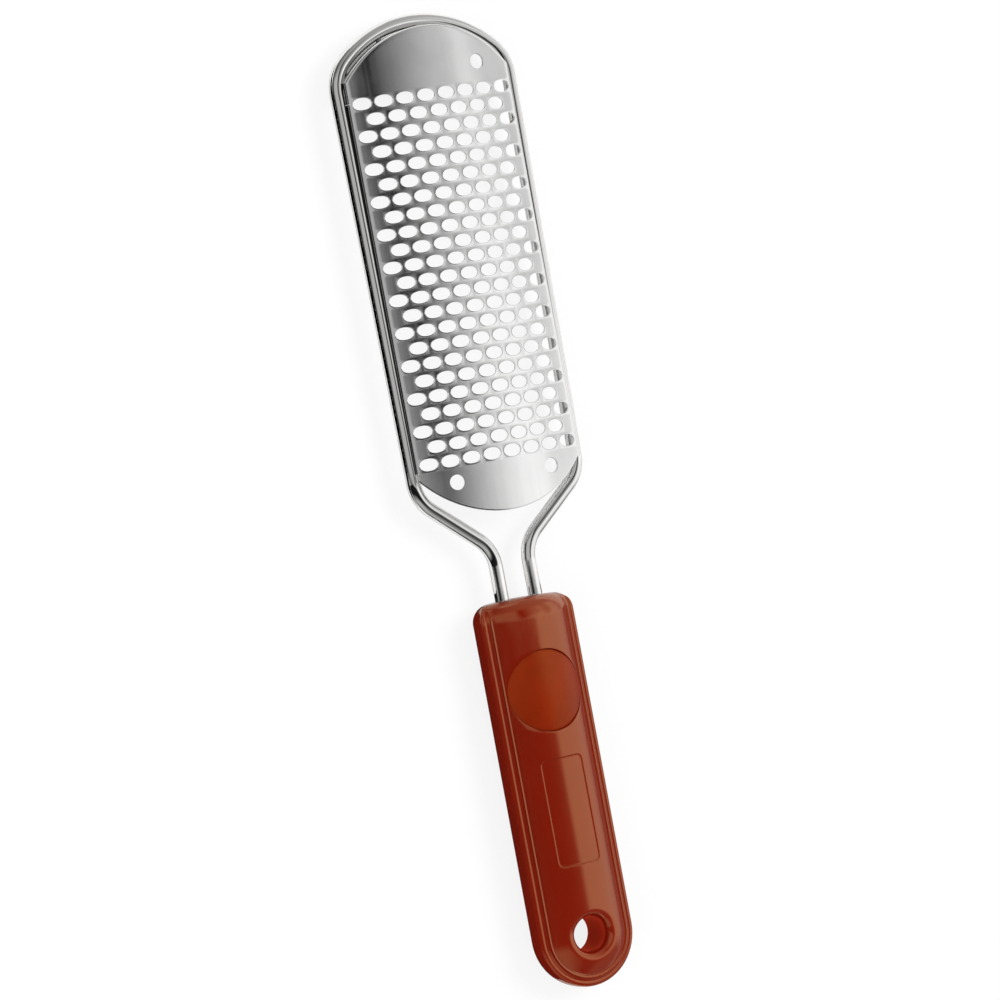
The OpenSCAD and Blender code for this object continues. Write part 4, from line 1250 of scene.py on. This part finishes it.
# Cards on the floor, seen only in reflections: their ends across and along, and the colour they glow with.
# The red one, under the hanging hole, is a painted reflection of red light inside the hole.
FLOOR_CARDS = (
    ((-0.7, -0.0345), (-0.01, 0.14), (0, 0, 0)),
    ((-0.7, -0.008), (-0.3, -0.024), (0.01, 0.01, 0.01)),
    ((0.0145, 0.7), (-0.3, -0.024), (0.2, 0.2, 0.2)),
    # Painted reflection: red light bouncing inside the hanging hole's bore.
    ((-0.006, 0.006), (-0.1215, -0.1085), (0.7, 0.06, 0.03)),
)
FLOOR_Z, FLOOR_CARD_Z = -0.05 * MM, -0.03 * MM
KEY_PLACE, FILL_PLACE = (0.75, 0.35, 1.25), (-1.15, -0.35, 0.8)
WHITE = (1.0, 1.0, 1.0)


def sheet(name, points, marks=None):
    """An open sheet of the stage."""
    skin = Skin()
    skin.grid(points, marks=marks)
    return skin.mesh(name, closed=False)


def level_sheet(name, x, y, z):
    """A level sheet at height z, between two places across and two along."""
    across, along = np.meshgrid(np.linspace(*x, 3), np.linspace(*y, 3), indexing="ij")
    return sheet(name, np.stack([across, along, np.full_like(across, z)], axis=-1))


def sweep_card(name, reach, card_r, peak, zones):
    """A reflected studio card: a tall half pipe over the object. Its glow changes with its angle from
    straight up and, from one zone to the next, along the object."""
    sweep = 200
    turned, along = np.radians(np.linspace(-sweep / 2, sweep / 2, 97)), np.linspace(-reach, reach, 3)
    t, y = np.meshgrid(turned, along, indexing="ij")
    marks = np.stack([np.degrees(t) / sweep + 0.5, y / (2 * reach) + 0.5], axis=-1)
    mesh = sheet(name, np.stack([card_r * np.sin(t), y, card_r * np.cos(t)], axis=-1), marks)
    look = Look(name)
    uv = look.node("ShaderNodeTexCoord", output="UV")
    across = look.node("ShaderNodeSeparateXYZ", None, {0: uv})
    place = (look.node("ShaderNodeSeparateXYZ", None, {0: uv}, output=1) - 0.5) * (2 * reach)
    glow = None
    for begins, full, stops in zones:
        shown = [(angle / sweep + 0.5, level / peak) for angle, level in stops]
        ramp = look.node("ShaderNodeValToRGB", {"stops": shown}, {"Fac": across})
        glow = ramp if glow is None else look.blend(look.span(place, begins, full), glow, ramp)
    look.finish(look.node("ShaderNodeEmission", None, {"Color": glow, "Strength": peak}))
    mesh.materials.append(look.material)
    return mesh


def floor_card(name, x, y, shade):
    """A card lying on the floor that glows with its shade, dark, grey or red; the red one is a painted
    reflection of red light in the hanging hole.
    """
    mesh = level_sheet(name, x, y, FLOOR_CARD_Z)
    look = Look(name)
    look.finish(look.node("ShaderNodeEmission", None, {"Color": shade, "Strength": 1.0}))
    mesh.materials.append(look.material)
    return mesh


def stage_object(mesh, only_reflected=False):
    """Adds a thing of the stage, which isn't part of the object."""
    old = bpy.data.objects.get(mesh.name)
    if old is not None:
        bpy.data.objects.remove(old)
    thing = bpy.data.objects.new(mesh.name, mesh)
    bpy.context.scene.collection.objects.link(thing)
    if only_reflected:
        thing.visible_camera = thing.visible_diffuse = thing.visible_shadow = False
        thing.visible_transmission = thing.visible_volume_scatter = False


def seen_by(look):
    """Masks of the rays that see a surface itself: the camera's, and those of reflections and glass."""
    rays = ("Is Camera Ray", "Is Glossy Ray", "Is Transmission Ray")
    camera, mirror, glass = (look.node("ShaderNodeLightPath", output=ray) for ray in rays)
    return camera, look.span(mirror + glass, 0.0, 1.0)


def make_floor(s):
    """A pale floor, which keeps the object's shadow under a share of plain white."""
    mesh = level_sheet("floor", (-4, 4), (-4, 4), FLOOR_Z)
    look = Look("floor_white")
    matt = look.node("ShaderNodeBsdfDiffuse", None, {"Color": tuple(sizes("foot_file_finish").floor_white)})
    white = look.node("ShaderNodeEmission", None, {"Color": WHITE, "Strength": 1.0})
    camera, mirrored = seen_by(look)
    glow = camera * s.floor_glow + mirrored * s.floor_mirror
    look.finish(look.node("ShaderNodeMixShader", None, {0: glow, 1: matt, 2: white}))
    mesh.materials.append(look.material)
    stage_object(mesh)


def make_sky(s):
    """White where it is seen, and a plain level of light for all the rest."""
    world = bpy.data.worlds.new("studio")
    world.use_nodes = True
    bpy.context.scene.world = world
    look = Look("sky_nodes")
    look.tree = world.node_tree
    look.tree.nodes.clear()
    camera, mirrored = seen_by(look)
    strength = look.span(camera + mirrored, 0.0, 1.0, s.sky_light, 1.0)
    sky = look.node("ShaderNodeBackground", None, {"Color": WHITE, "Strength": strength})
    look.finish(sky, "ShaderNodeOutputWorld")
    bpy.data.materials.remove(look.material)


def make_lamp(name, place, size, power):
    """A big soft lamp aimed at the object, left out of reflections, which the cards give."""
    data = bpy.data.lights.new(name, "AREA")
    data.shape, data.size, data.energy = "DISK", size, power
    lamp = bpy.data.objects.new(name, data)
    bpy.context.scene.collection.objects.link(lamp)
    lamp.location = place
    lamp.rotation_mode = "QUATERNION"
    lamp.rotation_quaternion = (-Vector(place)).to_track_quat("-Z", "Y")
    lamp.visible_glossy = False


def make_camera(s):
    """The camera, from its place, its direction and its upward side."""
    data = bpy.data.cameras.new("view")
    data.sensor_width, data.lens = 36.0, s.lens
    data.shift_x, data.shift_y = s.shift_x, s.shift_y
    data.clip_start, data.clip_end = 0.05, 20.0
    camera = bpy.data.objects.new("view", data)
    bpy.context.scene.collection.objects.link(camera)
    back = -Vector(s.camera_look).normalized()
    right = Vector(s.camera_up).cross(back).normalized()
    up = back.cross(right)
    rows = Matrix((right, up, back)).transposed().to_4x4()
    camera.matrix_world = Matrix.Translation(Vector(s.camera_place)) @ rows
    bpy.context.scene.camera = camera


class BuildPiece:
    """What the piece operators share."""

    bl_options = {"REGISTER", "UNDO"}


class FOOTFILE_OT_wire(BuildPiece, bpy.types.Operator):
    """Build the bent wire"""

    bl_idname = "footfile.wire"
    bl_label = "Wire"

    def execute(self, context):
        put(arch_wire(), "wire_steel", "wire_frame")
        return {"FINISHED"}


class FOOTFILE_OT_plate(BuildPiece, bpy.types.Operator):
    """Build the perforated rasp plate"""

    bl_idname = "footfile.plate"
    bl_label = "Rasp plate"

    def execute(self, context):
        put(rasp_sheet(), "plate_steel", "rasp_plate")
        return {"FINISHED"}


class FOOTFILE_OT_handle(BuildPiece, bpy.types.Operator):
    """Build the handle's back and its raised front"""

    bl_idname = "footfile.handle"
    bl_label = "Handle"

    def execute(self, context):
        put(handle_back(), "handle_plastic", "back_shell")
        put(handle_front(), "handle_plastic", "front_cover")
        return {"FINISHED"}


class FOOTFILE_OT_thumb_rest(BuildPiece, bpy.types.Operator):
    """Build the round thumb rest"""

    bl_idname = "footfile.thumb_rest"
    bl_label = "Thumb rest"

    def execute(self, context):
        put(thumb_rest(), "pad_plastic", "thumb_pad")
        return {"FINISHED"}


class FOOTFILE_OT_screws(BuildPiece, bpy.types.Operator):
    """Build the screws in the back"""

    bl_idname = "footfile.screws"
    bl_label = "Screws"

    def execute(self, context):
        put(back_screws(), "screw_steel", "cover_screws")
        return {"FINISHED"}


class FOOTFILE_OT_solids(BuildPiece, bpy.types.Operator):
    """Give the solids that stay their finishes"""

    bl_idname = "footfile.solids"
    bl_label = "Welds and anchor"

    def execute(self, context):
        dress("weld_spots", "weld_steel")
        dress("leg_anchor", "anchor_steel")
        return {"FINISHED"}


class FOOTFILE_OT_stage(BuildPiece, bpy.types.Operator):
    """Build the floor, the light and the camera"""

    bl_idname = "footfile.stage"
    bl_label = "Stage"

    def execute(self, context):
        s = sizes("foot_file_stage")
        make_floor(s)
        make_sky(s)
        card = sweep_card("gradient_card", s.card_reach, s.card_r, s.card_peak, CARD_ZONES)
        stage_object(card, only_reflected=True)
        for number, (x, y, shade) in enumerate(FLOOR_CARDS):
            stage_object(floor_card(f"floor_card_{number}", x, y, shade), only_reflected=True)
        make_lamp("key_lamp", KEY_PLACE, s.lamp_size, s.key_power)
        make_lamp("fill_lamp", FILL_PLACE, s.lamp_size, s.fill_power)
        make_camera(s)
        bpy.context.scene.view_settings.view_transform = "Standard"
        return {"FINISHED"}


class FOOTFILE_PT_panel(bpy.types.Panel):
    """Lists the operators and the sizes"""

    bl_idname = "FOOTFILE_PT_panel"
    bl_label = "Foot file"
    bl_space_type = "VIEW_3D"
    bl_region_type = "UI"
    bl_category = "Foot file"

    def draw(self, context):
        for operator in OPERATORS:
            self.layout.operator(operator.bl_idname)
        for name in GROUPS:
            box = self.layout.box()
            box.label(text=name.replace("_", " "))
            group = sizes(name)
            for key in group.__annotations__:
                box.prop(group, key)


OPERATORS = (
    FOOTFILE_OT_wire,
    FOOTFILE_OT_plate,
    FOOTFILE_OT_handle,
    FOOTFILE_OT_thumb_rest,
    FOOTFILE_OT_screws,
    FOOTFILE_OT_solids,
    FOOTFILE_OT_stage,
)
GROUPS = {
    "foot_file_wire": WireSizes,
    "foot_file_plate": PlateSizes,
    "foot_file_handle": HandleSizes,
    "foot_file_finish": FinishColours,
    "foot_file_stage": StageSizes,
}


def register():
    """Registers the classes and hangs the groups of sizes on the scene."""
    for kind in (*GROUPS.values(), *OPERATORS, FOOTFILE_PT_panel):
        bpy.utils.register_class(kind)
    for name, kind in GROUPS.items():
        setattr(bpy.types.Scene, name, PointerProperty(type=kind))


def unregister():
    """Takes both away again."""
    for name in GROUPS:
        delattr(bpy.types.Scene, name)
    for kind in (FOOTFILE_PT_panel, *reversed(OPERATORS), *reversed(GROUPS.values())):
        bpy.utils.unregister_class(kind)


def main():
    """Builds every piece and the stage in order."""
    register()
    for operator in OPERATORS:
        group, name = operator.bl_idname.split(".")
        getattr(getattr(bpy.ops, group), name)()


if __name__ == "__main__":
    main()
